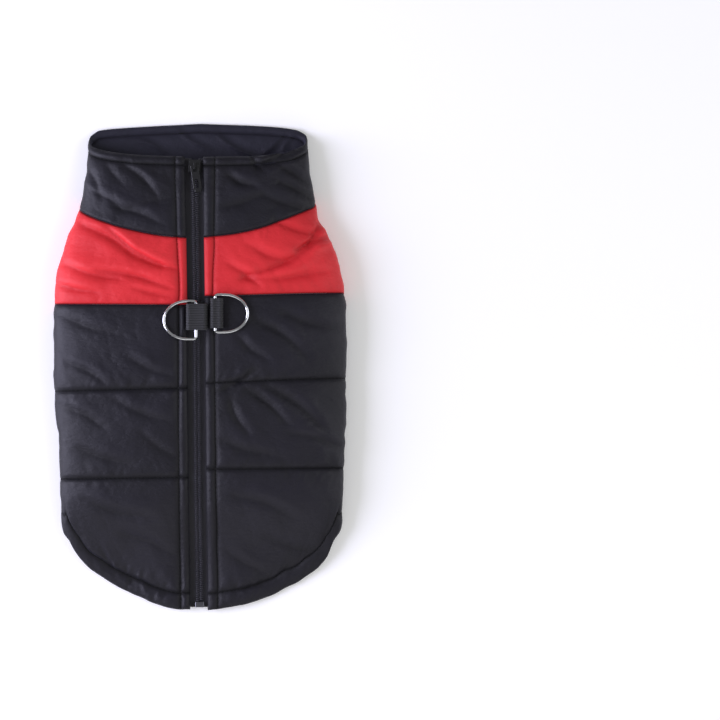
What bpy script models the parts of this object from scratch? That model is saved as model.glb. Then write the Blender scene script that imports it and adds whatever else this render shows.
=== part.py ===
# A quilted winter jacket for a small dog, laid flat on its belly side with the zip up.
# The cloth is a flattened tube: every panel is a patch of the tube's sections, given a
# padded thickness. Measures are millimetres here and turn into metres when a piece is made.
# X runs across the jacket, +Y towards the collar, +Z up from the surface it lies on.

import math

import bmesh
import bpy
import numpy as np
from mathutils import Matrix

METRE = 0.001

BODY_THICK = 4.5
COLLAR_THICK = 4.2
PLACKET_LEFT = -7.4
PLACKET_RIGHT = 6.2
PLACKET_STITCH = 15.8
SEAM_GAP = 0.2
TAPE_THICK = 1.0
TAPE_WIDE = 12.5
GUARD_WIDE = 16.0
GUARD_THICK = 1.2
TAPE_UNDER = 0.8
CHAIN_HALF = 2.8
CHAIN_THICK = 2.2
CHAIN_MIDDLE = BODY_THICK + TAPE_UNDER - 0.6 - CHAIN_THICK / 2
CHAIN_END_Y = -176.5
SLIDER_Y = 150.5
SLIDER_LONG = 9.0
SLIDER_HALF = 4.3
LUG_HALF = 0.8
HINGE_Y = -0.7
HINGE_Z = 3.9
TAB_WIDE = 6.0
TAB_LONG = 19.5
TAB_THICK = 1.2
TAB_TURN = 8.0
TAB_DROOP = 4.0
RING_WIRE = 1.2
RING_CORNER = 3.4
WEBBING = 0.9
WEBBING_ROOM = 1.75
RING_REST = 33.2
RING_TILT = 4.0
# The two leash rings: bar x, y of the ring's ends, reach from the bar, webbing x and y.
RINGS = (
    # name,  side, bar,  y0,   y1,   reach, wx0, wx1,  wy0,  wy1
    ("left", -1, -1.9, 19.7, 50.4, 25.2, -9.4, 6.6, 27.6, 47.3),
    ("right", 1, 12.4, 24.8, 55.2, 25.4, 8.6, 18.4, 28.9, 51.5),
)

# Sections along the body: y, half width to the left and right, height of the middle,
# height of the side folds.
SECTIONS = (
    # y,     left,  right, high, fold
    (190.0, 83.6, 80.8, 21.0, 15.0),
    (172.0, 84.2, 81.2, 23.0, 16.0),
    (162.0, 84.5, 81.5, 24.5, 16.5),
    (148.0, 85.1, 82.2, 26.5, 17.5),
    (133.0, 88.1, 85.1, 28.0, 18.0),
    (118.0, 91.1, 88.1, 29.0, 18.5),
    (110.0, 94.1, 89.8, 29.5, 19.0),
    (103.0, 97.1, 94.7, 30.0, 19.5),
    (88.0, 101.6, 100.9, 31.0, 20.5),
    (73.0, 106.1, 105.4, 31.5, 21.5),
    (58.0, 108.4, 108.4, 32.0, 22.0),
    (43.0, 109.8, 109.2, 32.0, 22.0),
    (-2.0, 109.9, 109.9, 32.0, 22.0),
    (-32.0, 109.1, 109.8, 31.0, 22.0),
    (-62.0, 106.2, 109.0, 29.5, 21.5),
    (-92.0, 105.3, 107.6, 27.0, 20.0),
    (-115.0, 104.6, 106.9, 23.0, 17.0),
    (-130.0, 103.6, 105.4, 19.5, 14.0),
    (-145.0, 100.5, 103.6, 16.5, 11.5),
    (-160.0, 97.0, 101.0, 14.0, 10.0),
    (-190.0, 91.0, 94.0, 12.0, 9.5),
)

# Edges round the tube: turn is 0 at the zip, 1 at the side fold, 2 at the belly's middle.
RIM = (
    # turn, left,  right
    (0.00, 157.5, 157.5),
    (0.43, 158.6, 158.0),
    (0.75, 161.5, 161.0),
    (0.92, 165.5, 166.5),
    (1.00, 169.5, 170.5),
    (1.06, 174.5, 175.0),
    (1.13, 178.4, 178.6),
    (1.40, 180.6, 181.4),
    (2.00, 183.4, 183.4),
)
COLLAR_SEAM = (
    # turn, left,  right
    (0.00, 96.2, 96.8),
    (0.25, 98.2, 99.6),
    (0.50, 103.0, 105.2),
    (0.75, 110.2, 113.4),
    (1.00, 119.5, 122.5),
    (1.12, 126.0, 130.5),
    (1.43, 134.5, 140.5),
    (1.80, 138.5, 143.6),
    (2.00, 142.0, 142.0),
)
COLOUR_SEAM = (
    # turn, left, right
    (0.00, 46.4, 52.8),
    (0.95, 47.0, 55.4),
    (1.12, 45.0, 50.0),
    (1.40, 42.6, 44.0),
)
QUILT_HIGH = (
    # turn, left,  right
    (0.00, -15.4, -12.2),
    (0.95, -18.2, -8.4),
    (1.12, -19.4, -12.5),
    (1.35, -15.8, -10.0),
    (2.00, -13.5, -13.5),
)
QUILT_LOW = (
    # turn, left,  right
    (0.00, -82.4, -76.6),
    (0.95, -84.2, -75.6),
    (1.12, -86.0, -79.0),
    (1.40, -79.6, -76.2),
)
# The hem, as points on the upper and lower side: distance from the middle, y.
HEM_UPPER = (
    # left x, left y, right x, right y
    (0.0, -184.0, 0.0, -184.0),
    (21.4, -182.3, 17.0, -182.6),
    (44.6, -174.8, 49.0, -174.8),
    (61.1, -167.3, 65.0, -167.3),
    (73.9, -159.8, 79.1, -159.8),
    (84.4, -152.3, 89.6, -152.3),
    (91.9, -144.8, 96.4, -144.8),
    (97.1, -137.3, 99.8, -137.3),
    (100.9, -129.8, 102.9, -129.8),
)
HEM_LOWER = (
    # left x, left y, right x, right y
    (98.0, -115.5, 99.0, -115.5),
    (84.4, -104.5, 89.6, -107.5),
    (62.0, -90.5, 69.4, -90.0),
    (32.0, -84.5, 32.6, -83.2),
    (0.0, -83.0, 0.0, -83.0),
)
# The seam between the side of the back and the belly panel: y, distance from the middle.
BELLY_SEAM = (
    # y,     left, right
    (150.0, 43.5, 46.5),
    (138.0, 48.5, 52.5),
    (126.0, 53.2, 58.5),
    (98.0, 61.0, 67.5),
    (60.0, 66.2, 73.8),
    (27.0, 68.0, 76.0),
    (-27.0, 66.0, 74.2),
    (-85.0, 60.5, 70.0),
    (-120.0, 58.0, 68.0),
)
ARMHOLE_RIGHT = (
    # x, y
    (92.6, 87.8), (82.0, 91.6), (67.9, 96.4), (54.0, 103.6), (40.1, 109.5), (31.6, 104.4),
    (27.0, 92.0), (25.4, 77.0), (26.4, 61.0), (32.6, 46.5), (46.9, 38.2), (66.4, 36.4),
    (81.4, 37.9), (93.0, 44.6), (98.2, 55.0), (96.4, 70.5),
)
ARMHOLE_LEFT = (
    # x, y
    (-24.6, 106.8), (-40.9, 99.4), (-53.0, 93.2), (-64.9, 87.8), (-78.0, 84.0), (-87.4, 78.6),
    (-91.6, 66.0), (-86.4, 51.6), (-76.9, 40.0), (-60.4, 35.8), (-40.9, 41.6), (-25.9, 56.3),
    (-19.9, 75.8), (-20.6, 94.0),
)
# The largest folds: which side, ends, half width and depth (a minus sign raises a ridge).
FOLDS = (
    # up,  x0,    y0,    x1,    y1,    wide, deep
    (1, -84.0, 146.0, -64.0, 120.0, 6.5, 2.6),
    (1, -64.0, 120.0, -34.0, 110.5, 7.0, 1.6),
    (1, -56.0, 148.0, -36.0, 132.0, 7.0, 1.3),
    (1, 48.0, 151.0, 78.0, 173.0, 6.5, 1.8),
    (1, 28.0, 140.0, 40.0, 137.0, 8.0, 1.6),
    (1, 62.0, 146.0, 84.0, 128.0, 6.5, 1.8),
    (1, 96.0, 98.0, 76.0, 89.0, 6.0, 2.2),
    (1, -84.0, 106.0, -36.0, 80.0, 7.5, 1.3),
    (1, -70.0, 74.0, -24.0, 62.0, 7.5, 1.2),
    (1, 30.0, 76.0, 84.0, 84.0, 8.0, 1.3),
    (1, 46.0, 30.0, 74.0, 8.0, 8.0, 1.4),
    (1, 46.0, -26.0, 72.0, -60.0, 8.0, 1.4),
    (1, -100.0, 36.0, -58.0, 16.0, 8.0, 1.1),
    (1, -98.0, -50.0, -40.0, -44.0, 8.0, 1.1),
    (1, -74.0, -112.0, -30.0, -126.0, 8.0, 1.0),
    (1, 34.0, -112.0, 78.0, -124.0, 8.0, 1.0),
    (0, 12.0, 142.0, 4.0, 104.0, 6.0, 1.6),
    (0, -13.0, 140.0, -9.0, 100.0, 6.0, 1.6),
    (0, 15.0, 72.0, -18.0, 58.0, 6.0, 1.4),
    (0, 44.0, 20.0, 52.0, -10.0, 7.0, 1.0),
    (0, -52.0, -26.0, -14.0, -62.0, 8.0, 1.2),
    (0, 56.0, -30.0, 30.0, -52.0, 8.0, 1.0),
)

UPPER_POWER = 3.0
LOWER_POWER = 5.5
FLATTEN = 0.5


def curve(points):
    """A smooth rule through (x, y) points that never swings past them."""
    points = sorted(points)
    xs = np.array([p[0] for p in points], float)
    ys = np.array([p[1] for p in points], float)
    step = np.diff(xs)
    slope = np.diff(ys) / step
    turn = np.zeros(len(xs))
    turn[0] = slope[0]
    turn[-1] = slope[-1]
    for k in range(1, len(xs) - 1):
        if slope[k - 1] * slope[k] > 0:
            turn[k] = 2 * slope[k - 1] * slope[k] / (slope[k - 1] + slope[k])

    def at(x):
        x = min(max(x, xs[0]), xs[-1])
        k = min(int(np.searchsorted(xs, x, side="right")) - 1, len(xs) - 2)
        t = (x - xs[k]) / step[k]
        return float(
            (2 * t**3 - 3 * t**2 + 1) * ys[k]
            + (t**3 - 2 * t**2 + t) * step[k] * turn[k]
            + (3 * t**2 - 2 * t**3) * ys[k + 1]
            + (t**3 - t**2) * step[k] * turn[k + 1]
        )

    return at


def arc_table(power, high):
    """Share of the way round a quarter section, with its across and up factors."""
    angle = np.linspace(0.0, math.pi / 2, 801)
    across = np.sin(angle) ** (2 / power)
    up = np.cos(angle) ** (2 / power)
    run = np.hypot(np.diff(across * 108.0), np.diff(up * high))
    share = np.concatenate([[0.0], np.cumsum(run)])
    return share / share[-1], across, up


UPPER = arc_table(UPPER_POWER, 21.0)
LOWER = arc_table(LOWER_POWER, 11.0)
LEFT_WIDE = curve([(row[0], row[1]) for row in SECTIONS])
RIGHT_WIDE = curve([(row[0], row[2]) for row in SECTIONS])
HIGH = curve([(row[0], row[3]) for row in SECTIONS])
FOLD = curve([(row[0], row[4]) for row in SECTIONS])
ZIP_X = curve([(160.0, -3.7), (40.0, -1.6), (-184.0, -0.4)])


def wide(left, y):
    return LEFT_WIDE(y) if left else RIGHT_WIDE(y)


def ease(low, high, value):
    t = min(max((value - low) / (high - low), 0.0), 1.0)
    return t * t * (3 - 2 * t)


def around(turn):
    """True on the left side, and the turn from the zip (0) to the belly's middle (2)."""
    return (True, 4 - turn) if turn > 2 else (False, turn)


def skin(turn, y, deep):
    """A point of the tube: turn round it, place along it, depth under its outer face."""
    left, a = around(turn)
    half = wide(left, y)
    base = FOLD(y) / 2
    if a <= 1:
        across = float(np.interp(a, UPPER[0], UPPER[1]))
        up = float(np.interp(a, UPPER[0], UPPER[2]))
        z = base + (HIGH(y) - base - deep) * up
        inner = base + (HIGH(y) - base - BODY_THICK) * up
    else:
        across = float(np.interp(2 - a, LOWER[0], LOWER[1]))
        up = float(np.interp(2 - a, LOWER[0], LOWER[2]))
        z = base - (base + FLATTEN - deep) * up
        inner = base - (base - BODY_THICK) * up
    x = (half - deep) * across
    if y < -98.0 and a <= 1:
        rest = 0.5 + 3.1 * (1 - ease(18.0, 60.0, x))
        z -= ease(98.0, 178.0, -y) * max(inner - rest, 0.0)
    return (-x if left else x), y, max(z, 0.0 if deep < 2.0 else 0.4)


def on_top(x, y):
    left = x < 0
    share = min(abs(x) / wide(left, y), 1.0)
    a = float(np.interp(share, UPPER[1], UPPER[0]))
    return 4 - a if left else a


def beneath(x, y):
    left = x < 0
    share = min(abs(x) / wide(left, y), 1.0)
    a = 2 - float(np.interp(share, LOWER[1], LOWER[0]))
    return 4 - a if left else a


def edge(table):
    left_rule = curve([(row[0], row[1]) for row in table])
    right_rule = curve([(row[0], row[2]) for row in table])

    def at(turn):
        left, a = around(turn)
        return left_rule(a) if left else right_rule(a)

    return at


def hem_edge():
    rules = []
    for side in (-1, 1):
        pick = (0, 1) if side < 0 else (2, 3)
        points = []
        for row in HEM_UPPER:
            turn = on_top(side * max(row[pick[0]], 0.01), row[pick[1]])
            points.append((around(turn)[1], row[pick[1]]))
        for row in HEM_LOWER:
            turn = beneath(side * max(row[pick[0]], 0.01), row[pick[1]])
            points.append((around(turn)[1], row[pick[1]]))
        rules.append(curve(points))

    def at(turn):
        left, a = around(turn)
        return rules[0](a) if left else rules[1](a)

    return at


rim = edge(RIM)
collar_seam = edge(COLLAR_SEAM)
colour_seam = edge(COLOUR_SEAM)
quilt_high = edge(QUILT_HIGH)
quilt_low = edge(QUILT_LOW)
hem = hem_edge()
seam_left = curve([(row[0], row[1]) for row in BELLY_SEAM])
seam_right = curve([(row[0], row[2]) for row in BELLY_SEAM])


def off(rule, by):
    return lambda turn: rule(turn) + by


def between(low, high, share):
    return lambda turn: low(turn) * (1 - share) + high(turn) * share


def level(value):
    return lambda turn: value


def from_zip(by):
    return lambda y: on_top(ZIP_X(y) + by, y)


def turned(a, left):
    return lambda y: 4 - a if left else a


def at_seam(left, by):
    if left:
        return lambda y: beneath(-seam_left(y) + by, y)
    return lambda y: beneath(seam_right(y) + by, y)


def relief(point, upper):
    """How far the folds push the outer face in at a point, in millimetres."""
    push = 0.0
    for up, x0, y0, x1, y1, broad, deep in FOLDS:
        if bool(up) != upper:
            continue
        dx, dy = x1 - x0, y1 - y0
        along = ((point[0] - x0) * dx + (point[1] - y0) * dy) / (dx * dx + dy * dy)
        t = min(max(along, 0.0), 1.0)
        gap = math.hypot(point[0] - x0 - t * dx, point[1] - y0 - t * dy)
        push += deep * math.exp(-((gap / broad) ** 2)) * (0.55 + 0.45 * math.sin(math.pi * t))
    return push


def colour(red, green, blue):
    def linear(value):
        value /= 255
        return value / 12.92 if value <= 0.04045 else ((value + 0.055) / 1.055) ** 2.4

    return linear(red), linear(green), linear(blue), 1.0


def material(name, rgb, rough, metal):
    made = bpy.data.materials.new(name)
    made.use_nodes = True
    shader = made.node_tree.nodes["Principled BSDF"]
    shader.inputs["Base Color"].default_value = colour(*rgb)
    shader.inputs["Roughness"].default_value = rough
    shader.inputs["Metallic"].default_value = metal
    made.diffuse_color = colour(*rgb)
    return made


def finish(name, bm, paint):
    """Turn a closed bmesh in millimetres into a named object in metres."""
    bmesh.ops.recalc_face_normals(bm, faces=bm.faces[:])
    if bm.calc_volume() < 0:
        bmesh.ops.reverse_faces(bm, faces=bm.faces[:])
    bmesh.ops.scale(bm, vec=(METRE, METRE, METRE), verts=bm.verts[:])
    mesh = bpy.data.meshes.new(name)
    bm.to_mesh(mesh)
    bm.free()
    mesh.materials.append(paint)
    made = bpy.data.objects.new(name, mesh)
    bpy.context.scene.collection.objects.link(made)
    return made


def cloth(name, columns, rows, paint, outer, inner, creased=True):
    """A patch of the tube. Columns and rows are (rule, relief) pairs; outer and inner are
    the depths of its two faces."""
    wide_by, tall_by = len(columns) - 1, len(rows) - 1
    bm = bmesh.new()
    bmesh.ops.create_grid(bm, x_segments=wide_by, y_segments=tall_by, size=0.5)
    made = bmesh.ops.extrude_face_region(bm, geom=bm.faces[:])
    back = {item for item in made["geom"] if isinstance(item, bmesh.types.BMVert)}
    for vert in bm.verts:
        i = round((vert.co.x + 0.5) * wide_by)
        j = round((vert.co.y + 0.5) * tall_by)
        y = rows[j][0](2.0)
        for _ in range(6):
            turn = columns[i][0](y)
            y = rows[j][0](turn)
        if vert in back:
            vert.co = skin(turn, y, inner)
            continue
        lift = columns[i][1] + rows[j][1]
        point = skin(turn, y, outer)
        if creased:
            lift -= relief(point, around(turn)[1] < 1)
        vert.co = skin(turn, y, outer - lift)
    return finish(name, bm, paint)


def rows_between(low, high, count, puff):
    """Extra rows inside two edges, the cloth swelling a little between them."""
    made = []
    for k in range(1, count + 1):
        share = k / (count + 1)
        made.append((between(low, high, share), puff * math.sin(math.pi * share)))
    return made


def back_columns(left):
    """Columns from the zip placket, over the side fold, to the belly seam."""
    side = -1 if left else 1
    first = PLACKET_LEFT if left else PLACKET_RIGHT
    made = [(from_zip(first), -0.9), (from_zip(first + side * 2.6), 0.3)]
    made += [(from_zip(side * 12.4), 0.1), (from_zip(side * PLACKET_STITCH), -1.2)]
    made += [(from_zip(side * 19.4), 0.0)]
    for a in (0.26, 0.35, 0.44, 0.53, 0.62, 0.71, 0.79, 0.86, 0.92, 0.965):
        made.append((turned(a, left), 0.0))
    for a in (1.01, 1.05, 1.10, 1.16, 1.22):
        made.append((turned(a, left), 0.0))
    made.append((at_seam(left, -side * 0.0 + side * SEAM_GAP), -0.7))
    return made


def back_panel(left, paint):
    name = "back_panel_left" if left else "back_panel_right"
    band = off(hem, 12.5)
    low = quilt_low
    rows = [(hem, -1.2), (off(hem, 4.0), 0.3), (off(hem, 8.5), 0.2)]
    rows += [(lambda turn: min(band(turn), low(turn) - 3.5), -1.0)]
    rows += [(between(lambda turn: min(band(turn), low(turn) - 3.5), low, 0.16), 0.0)]
    rows += rows_between(lambda turn: min(band(turn), low(turn) - 3.5), off(low, -5.0), 3, 0.8)[1:]
    rows += [(between(lambda turn: min(band(turn), low(turn) - 3.5), low, 0.94), 0.0)]
    rows += [(low, -1.5), (off(low, 5.0), 0.1)]
    rows += rows_between(off(low, 5.0), off(quilt_high, -5.0), 3, 0.9)
    rows += [(off(quilt_high, -5.0), 0.1), (quilt_high, -1.5), (off(quilt_high, 5.0), 0.1)]
    rows += rows_between(off(quilt_high, 5.0), off(colour_seam, -4.0), 3, 0.8)
    rows += [(off(colour_seam, -4.0), 0.0), (off(colour_seam, -SEAM_GAP), -0.9)]
    return cloth(name, back_columns(left), rows, paint, 0.0, BODY_THICK)


def yoke(left, paint):
    name = "yoke_left" if left else "yoke_right"
    low, high = off(colour_seam, SEAM_GAP), off(collar_seam, -SEAM_GAP)
    rows = [(low, -0.9), (off(low, 4.5), 0.1)]
    rows += rows_between(off(low, 4.5), off(high, -4.5), 4, 0.9)
    rows += [(off(high, -4.5), 0.1), (high, -0.9)]
    return cloth(name, back_columns(left), rows, paint, 0.0, BODY_THICK)


def collar(paint):
    columns = [(from_zip(PLACKET_RIGHT), -0.9), (from_zip(PLACKET_RIGHT + 2.6), 0.3)]
    columns += [(from_zip(12.4), 0.1), (from_zip(PLACKET_STITCH), -1.2), (from_zip(19.4), 0.0)]
    turns = [0.30, 0.42, 0.54, 0.65, 0.75, 0.84, 0.91, 0.96, 1.01, 1.06, 1.12, 1.20, 1.32]
    turns += [1.46, 1.62, 1.80]
    columns += [(turned(a, False), 0.0) for a in turns]
    columns += [(turned(2.0, False), 0.0)]
    columns += [(turned(a, True), 0.0) for a in reversed(turns)]
    columns += [(from_zip(-19.4), 0.0), (from_zip(-PLACKET_STITCH), -1.2)]
    columns += [(from_zip(-12.4), 0.1), (from_zip(PLACKET_LEFT - 2.6), 0.3)]
    columns += [(from_zip(PLACKET_LEFT), -0.9)]
    low = off(collar_seam, SEAM_GAP)
    rows = [(low, -0.9), (off(low, 5.0), 0.1)]
    rows += rows_between(off(low, 5.0), off(rim, -9.0), 3, 0.7)
    rows += [(off(rim, -9.5), 0.1), (off(rim, -6.5), -1.0), (off(rim, -3.0), 0.3), (rim, -0.9)]
    return cloth("collar", columns, rows, paint, 0.0, COLLAR_THICK)


def belly_panel(paint):
    columns = [(at_seam(False, -SEAM_GAP), -0.7)]
    for share in (0.08, 0.2, 0.32, 0.43, 0.5):
        columns.append((lambda y, s=share: at_seam(False, 0)(y) * (1 - s) + at_seam(True, 0)(y) * s, 0.0))
    for share in (0.57, 0.68, 0.8, 0.92):
        columns.append((lambda y, s=share: at_seam(False, 0)(y) * (1 - s) + at_seam(True, 0)(y) * s, 0.0))
    columns.append((at_seam(True, SEAM_GAP), -0.7))
    high = off(collar_seam, -SEAM_GAP)
    rows = [(hem, -1.2), (off(hem, 4.0), 0.3), (off(hem, 8.0), 0.2), (off(hem, 11.5), -1.0)]
    rows += [(off(hem, 15.0), 0.0)]
    rows += rows_between(off(hem, 15.0), off(quilt_high, -5.0), 4, 0.8)
    rows += [(off(quilt_high, -5.0), 0.1), (quilt_high, -1.5), (off(quilt_high, 5.0), 0.1)]
    rows += rows_between(off(quilt_high, 5.0), off(high, -5.0), 9, 0.4)
    rows += [(off(high, -5.0), 0.1), (high, -0.9)]
    return cloth("belly_panel", columns, rows, paint, 0.0, BODY_THICK)


def cut_armhole(panel, outline):
    """Cut an armhole through the lower layer of a panel."""
    bm = bmesh.new()
    ring = bmesh.ops.create_circle(bm, cap_ends=False, segments=4 * len(outline), radius=1.0)
    points = [np.array(p) for p in outline]
    count = len(points)
    for vert in ring["verts"]:
        share = (math.atan2(vert.co.y, vert.co.x) / (2 * math.pi)) % 1.0 * count
        k = int(share + 1e-6) % count
        t = max(share - int(share + 1e-6), 0.0)
        p0, p1, p2, p3 = (points[(k + n) % count] for n in (-1, 0, 1, 2))
        spot = 0.5 * (
            2 * p1
            + (p2 - p0) * t
            + (2 * p0 - 5 * p1 + 4 * p2 - p3) * t**2
            + (3 * p1 - p0 - 3 * p2 + p3) * t**3
        )
        vert.co = (spot[0], spot[1], -6.0)
    face = bmesh.ops.contextual_create(bm, geom=bm.edges[:])["faces"]
    raised = bmesh.ops.extrude_face_region(bm, geom=face)["geom"]
    top = [item for item in raised if isinstance(item, bmesh.types.BMVert)]
    bmesh.ops.translate(bm, verts=top, vec=(0, 0, 16.0))
    cutter = finish("armhole_cutter", bm, panel.data.materials[0])
    cutter.hide_render = True
    cutter.display_type = "WIRE"
    step = panel.modifiers.new("armhole", "BOOLEAN")
    step.operation = "DIFFERENCE"
    step.solver = "EXACT"
    step.object = cutter
    settle(panel)
    bpy.data.objects.remove(cutter)


def settle(thing):
    """Apply an object's modifiers."""
    graph = bpy.context.evaluated_depsgraph_get()
    mesh = bpy.data.meshes.new_from_object(thing.evaluated_get(graph))
    mesh.name = thing.name
    thing.modifiers.clear()
    thing.data = mesh


def strip(name, low_x, high_x, paint, outer, inner, y_low, y_high, crown=0.0, count=34):
    """A long strip that follows the zip."""
    middle = (low_x + high_x) / 2
    columns = [(from_zip(low_x), 0.0), (from_zip(middle), crown), (from_zip(high_x), 0.0)]
    rows = [(level(y_low + (y_high - y_low) * k / count), 0.0) for k in range(count + 1)]
    return cloth(name, columns, rows, paint, outer, inner, creased=False)


def zip_tape(left, paint, outer, low_y, high_y, count=34):
    """One side of the zip tape, opening into a V above the slider."""
    side = -1 if left else 1
    name = "zip_tape_left" if left else "zip_tape_right"

    def inner_edge(y):
        return on_top(ZIP_X(y) + side * (0.4 + 2.4 * ease(146.0, 156.0, y)), y)

    columns = [(inner_edge, 0.0), (from_zip(side * 7.0), 0.0), (from_zip(side * TAPE_WIDE), 0.0)]
    rows = [(level(low_y + (high_y - low_y) * k / count), 0.0) for k in range(count + 1)]
    return cloth(name, columns, rows, paint, outer, outer + TAPE_THICK, creased=False)


def block(bm, x0, x1, y0, y1, z0, z1):
    made = bmesh.ops.create_cube(bm, size=1.0)["verts"]
    bmesh.ops.scale(bm, vec=(x1 - x0, y1 - y0, z1 - z0), verts=made)
    bmesh.ops.translate(bm, vec=((x0 + x1) / 2, (y0 + y1) / 2, (z0 + z1) / 2), verts=made)
    return made


def join(name, parts, paint):
    """Join overlapping closed shapes into one solid."""
    first = parts[0]
    for other in parts[1:]:
        step = first.modifiers.new("join", "BOOLEAN")
        step.operation = "UNION"
        step.solver = "EXACT"
        step.object = other
        settle(first)
        bpy.data.objects.remove(other)
    first.name = name
    first.data.name = name
    first.data.materials.clear()
    first.data.materials.append(paint)
    return first


def wire(name, points, radius, paint, closed):
    """A bent wire of even thickness."""
    data = bpy.data.curves.new(name, "CURVE")
    data.dimensions = "3D"
    data.bevel_depth = radius * METRE
    data.bevel_resolution = 2
    data.use_fill_caps = True
    line = data.splines.new("POLY")
    line.points.add(len(points) - 1)
    for spot, target in zip(points, line.points):
        target.co = (spot[0] * METRE, spot[1] * METRE, spot[2] * METRE, 1.0)
    line.use_cyclic_u = closed
    holder = bpy.data.objects.new(name, data)
    bpy.context.scene.collection.objects.link(holder)
    graph = bpy.context.evaluated_depsgraph_get()
    mesh = bpy.data.meshes.new_from_object(holder.evaluated_get(graph))
    bpy.data.objects.remove(holder)
    mesh.materials.clear()
    mesh.materials.append(paint)
    made = bpy.data.objects.new(name, mesh)
    bpy.context.scene.collection.objects.link(made)
    return made


def set_origin(thing, place):
    """Put the object's origin on its joint axis, leaving its surface where it is."""
    for vert in thing.data.vertices:
        vert.co.x -= place[0] * METRE
        vert.co.y -= place[1] * METRE
        vert.co.z -= place[2] * METRE
    thing.location = [value * METRE for value in place]


def d_ring(name, side, bar_x, low_y, high_y, reach, bar_z, paint):
    """A wire ring with a straight bar along Y and its bow to one side."""
    middle = (low_y + high_y) / 2
    half = (high_y - low_y) / 2 - RING_WIRE
    bow = reach - RING_WIRE - 7.0
    turns = [math.radians(22.5 * k) for k in range(1, 5)]
    bend = [(RING_CORNER * (1 - math.cos(t)), half - RING_CORNER * (1 - math.sin(t))) for t in turns]
    flat = [(0.0, (half - RING_CORNER) * k) for k in (-1, 0, 1)] + bend
    for k in range(1, 24):
        angle = math.radians(90 - 180 * k / 24)
        flat.append((7.0 + bow * math.cos(angle), half * math.sin(angle)))
    flat += [(across, -along) for across, along in reversed(bend)]
    fall = math.radians(RING_TILT)
    points = []
    for across, along in flat:
        x = bar_x + side * across * math.cos(fall)
        points.append((x, middle + along, bar_z - across * math.sin(fall)))
    made = wire(name, points, RING_WIRE, paint, True)
    set_origin(made, (bar_x, middle, bar_z))
    return made


def webbing_loop(name, x0, x1, y0, y1, bar_z, paint):
    """A folded ribbon, flat above and below the bar that it holds."""
    half = WEBBING_ROOM + WEBBING
    bm = bmesh.new()
    for radius in (half, WEBBING_ROOM):
        line = []
        for centre, start in ((x1 - half, -90), (x0 + half, 90)):
            for k in range(7):
                angle = math.radians(start + 30 * k)
                spot = (centre + radius * math.cos(angle), bar_z + radius * math.sin(angle))
                line.append(spot)
        ring = bmesh.ops.create_circle(bm, segments=len(line), radius=1.0)["verts"]
        place_round(ring, [(spot[0], y0, spot[1]) for spot in line])
    wall = bmesh.ops.bridge_loops(bm, edges=bm.edges[:])["faces"]
    raised = bmesh.ops.extrude_face_region(bm, geom=wall)["geom"]
    far = [item for item in raised if isinstance(item, bmesh.types.BMVert)]
    bmesh.ops.translate(bm, verts=far, vec=(0, y1 - y0, 0))
    return finish(name, bm, paint)


def place_round(ring, spots):
    """Move a circle's points, in order round it, to the given places."""
    count = len(spots)
    for vert in list(ring):
        share = (math.atan2(vert.co.y, vert.co.x) / (2 * math.pi)) % 1.0
        vert.co = spots[round(share * count) % count]


def on_zip(bm, y):
    """Move a shape from the zip's own frame to its place along the chain."""
    x = ZIP_X(y)
    ahead = skin(on_top(x, y + 4), y + 4, CHAIN_MIDDLE)[2]
    behind = skin(on_top(x, y - 4), y - 4, CHAIN_MIDDLE)[2]
    slope = math.atan2(ahead - behind, 8.0)
    lift = (ahead + behind) / 2
    bmesh.ops.rotate(bm, verts=bm.verts[:], matrix=Matrix.Rotation(slope, 3, "X"))
    bmesh.ops.translate(bm, verts=bm.verts[:], vec=(x, y, lift))
    return slope, (x, y, lift)


def piece_on_zip(sizes, y, paint, round_off=0.0):
    """Boxes in the zip's frame joined into one solid."""
    parts = []
    for size in sizes:
        bm = bmesh.new()
        block(bm, *size)
        if round_off:
            bmesh.ops.bevel(
                bm, geom=bm.edges[:], offset=round_off, segments=2, profile=0.5, affect="EDGES"
            )
        on_zip(bm, y)
        parts.append(finish("shape", bm, paint))
    return parts


def slider(paint):
    long = SLIDER_LONG / 2
    wide_half = SLIDER_HALF
    wall = wide_half - CHAIN_HALF - 0.35
    sizes = (
        (-wide_half, wide_half, -long, long, 1.7, 2.8),
        (-wide_half + 0.1, -wide_half + wall, -long + 0.1, long - 0.1, -1.3, 2.45),
        (wide_half - wall, wide_half - 0.1, -long + 0.1, long - 0.1, -1.3, 2.45),
        (-wide_half + 0.2, wide_half - 0.2, -long + 0.3, long - 0.2, -4.3, -3.3),
        (-0.9, 0.9, 1.6, 3.9, -3.85, 2.3),
        (-LUG_HALF + 0.08, LUG_HALF - 0.08, HINGE_Y - 2.62, HINGE_Y - 1.7, 2.25, 5.55),
        (-LUG_HALF + 0.08, LUG_HALF - 0.08, HINGE_Y + 1.7, HINGE_Y + 2.62, 2.25, 5.55),
        (-LUG_HALF, LUG_HALF, HINGE_Y - 2.7, HINGE_Y + 2.7, 5.0, 6.0),
    )
    return join("zip_slider", piece_on_zip(sizes, SLIDER_Y, paint, 0.18), paint)


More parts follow.
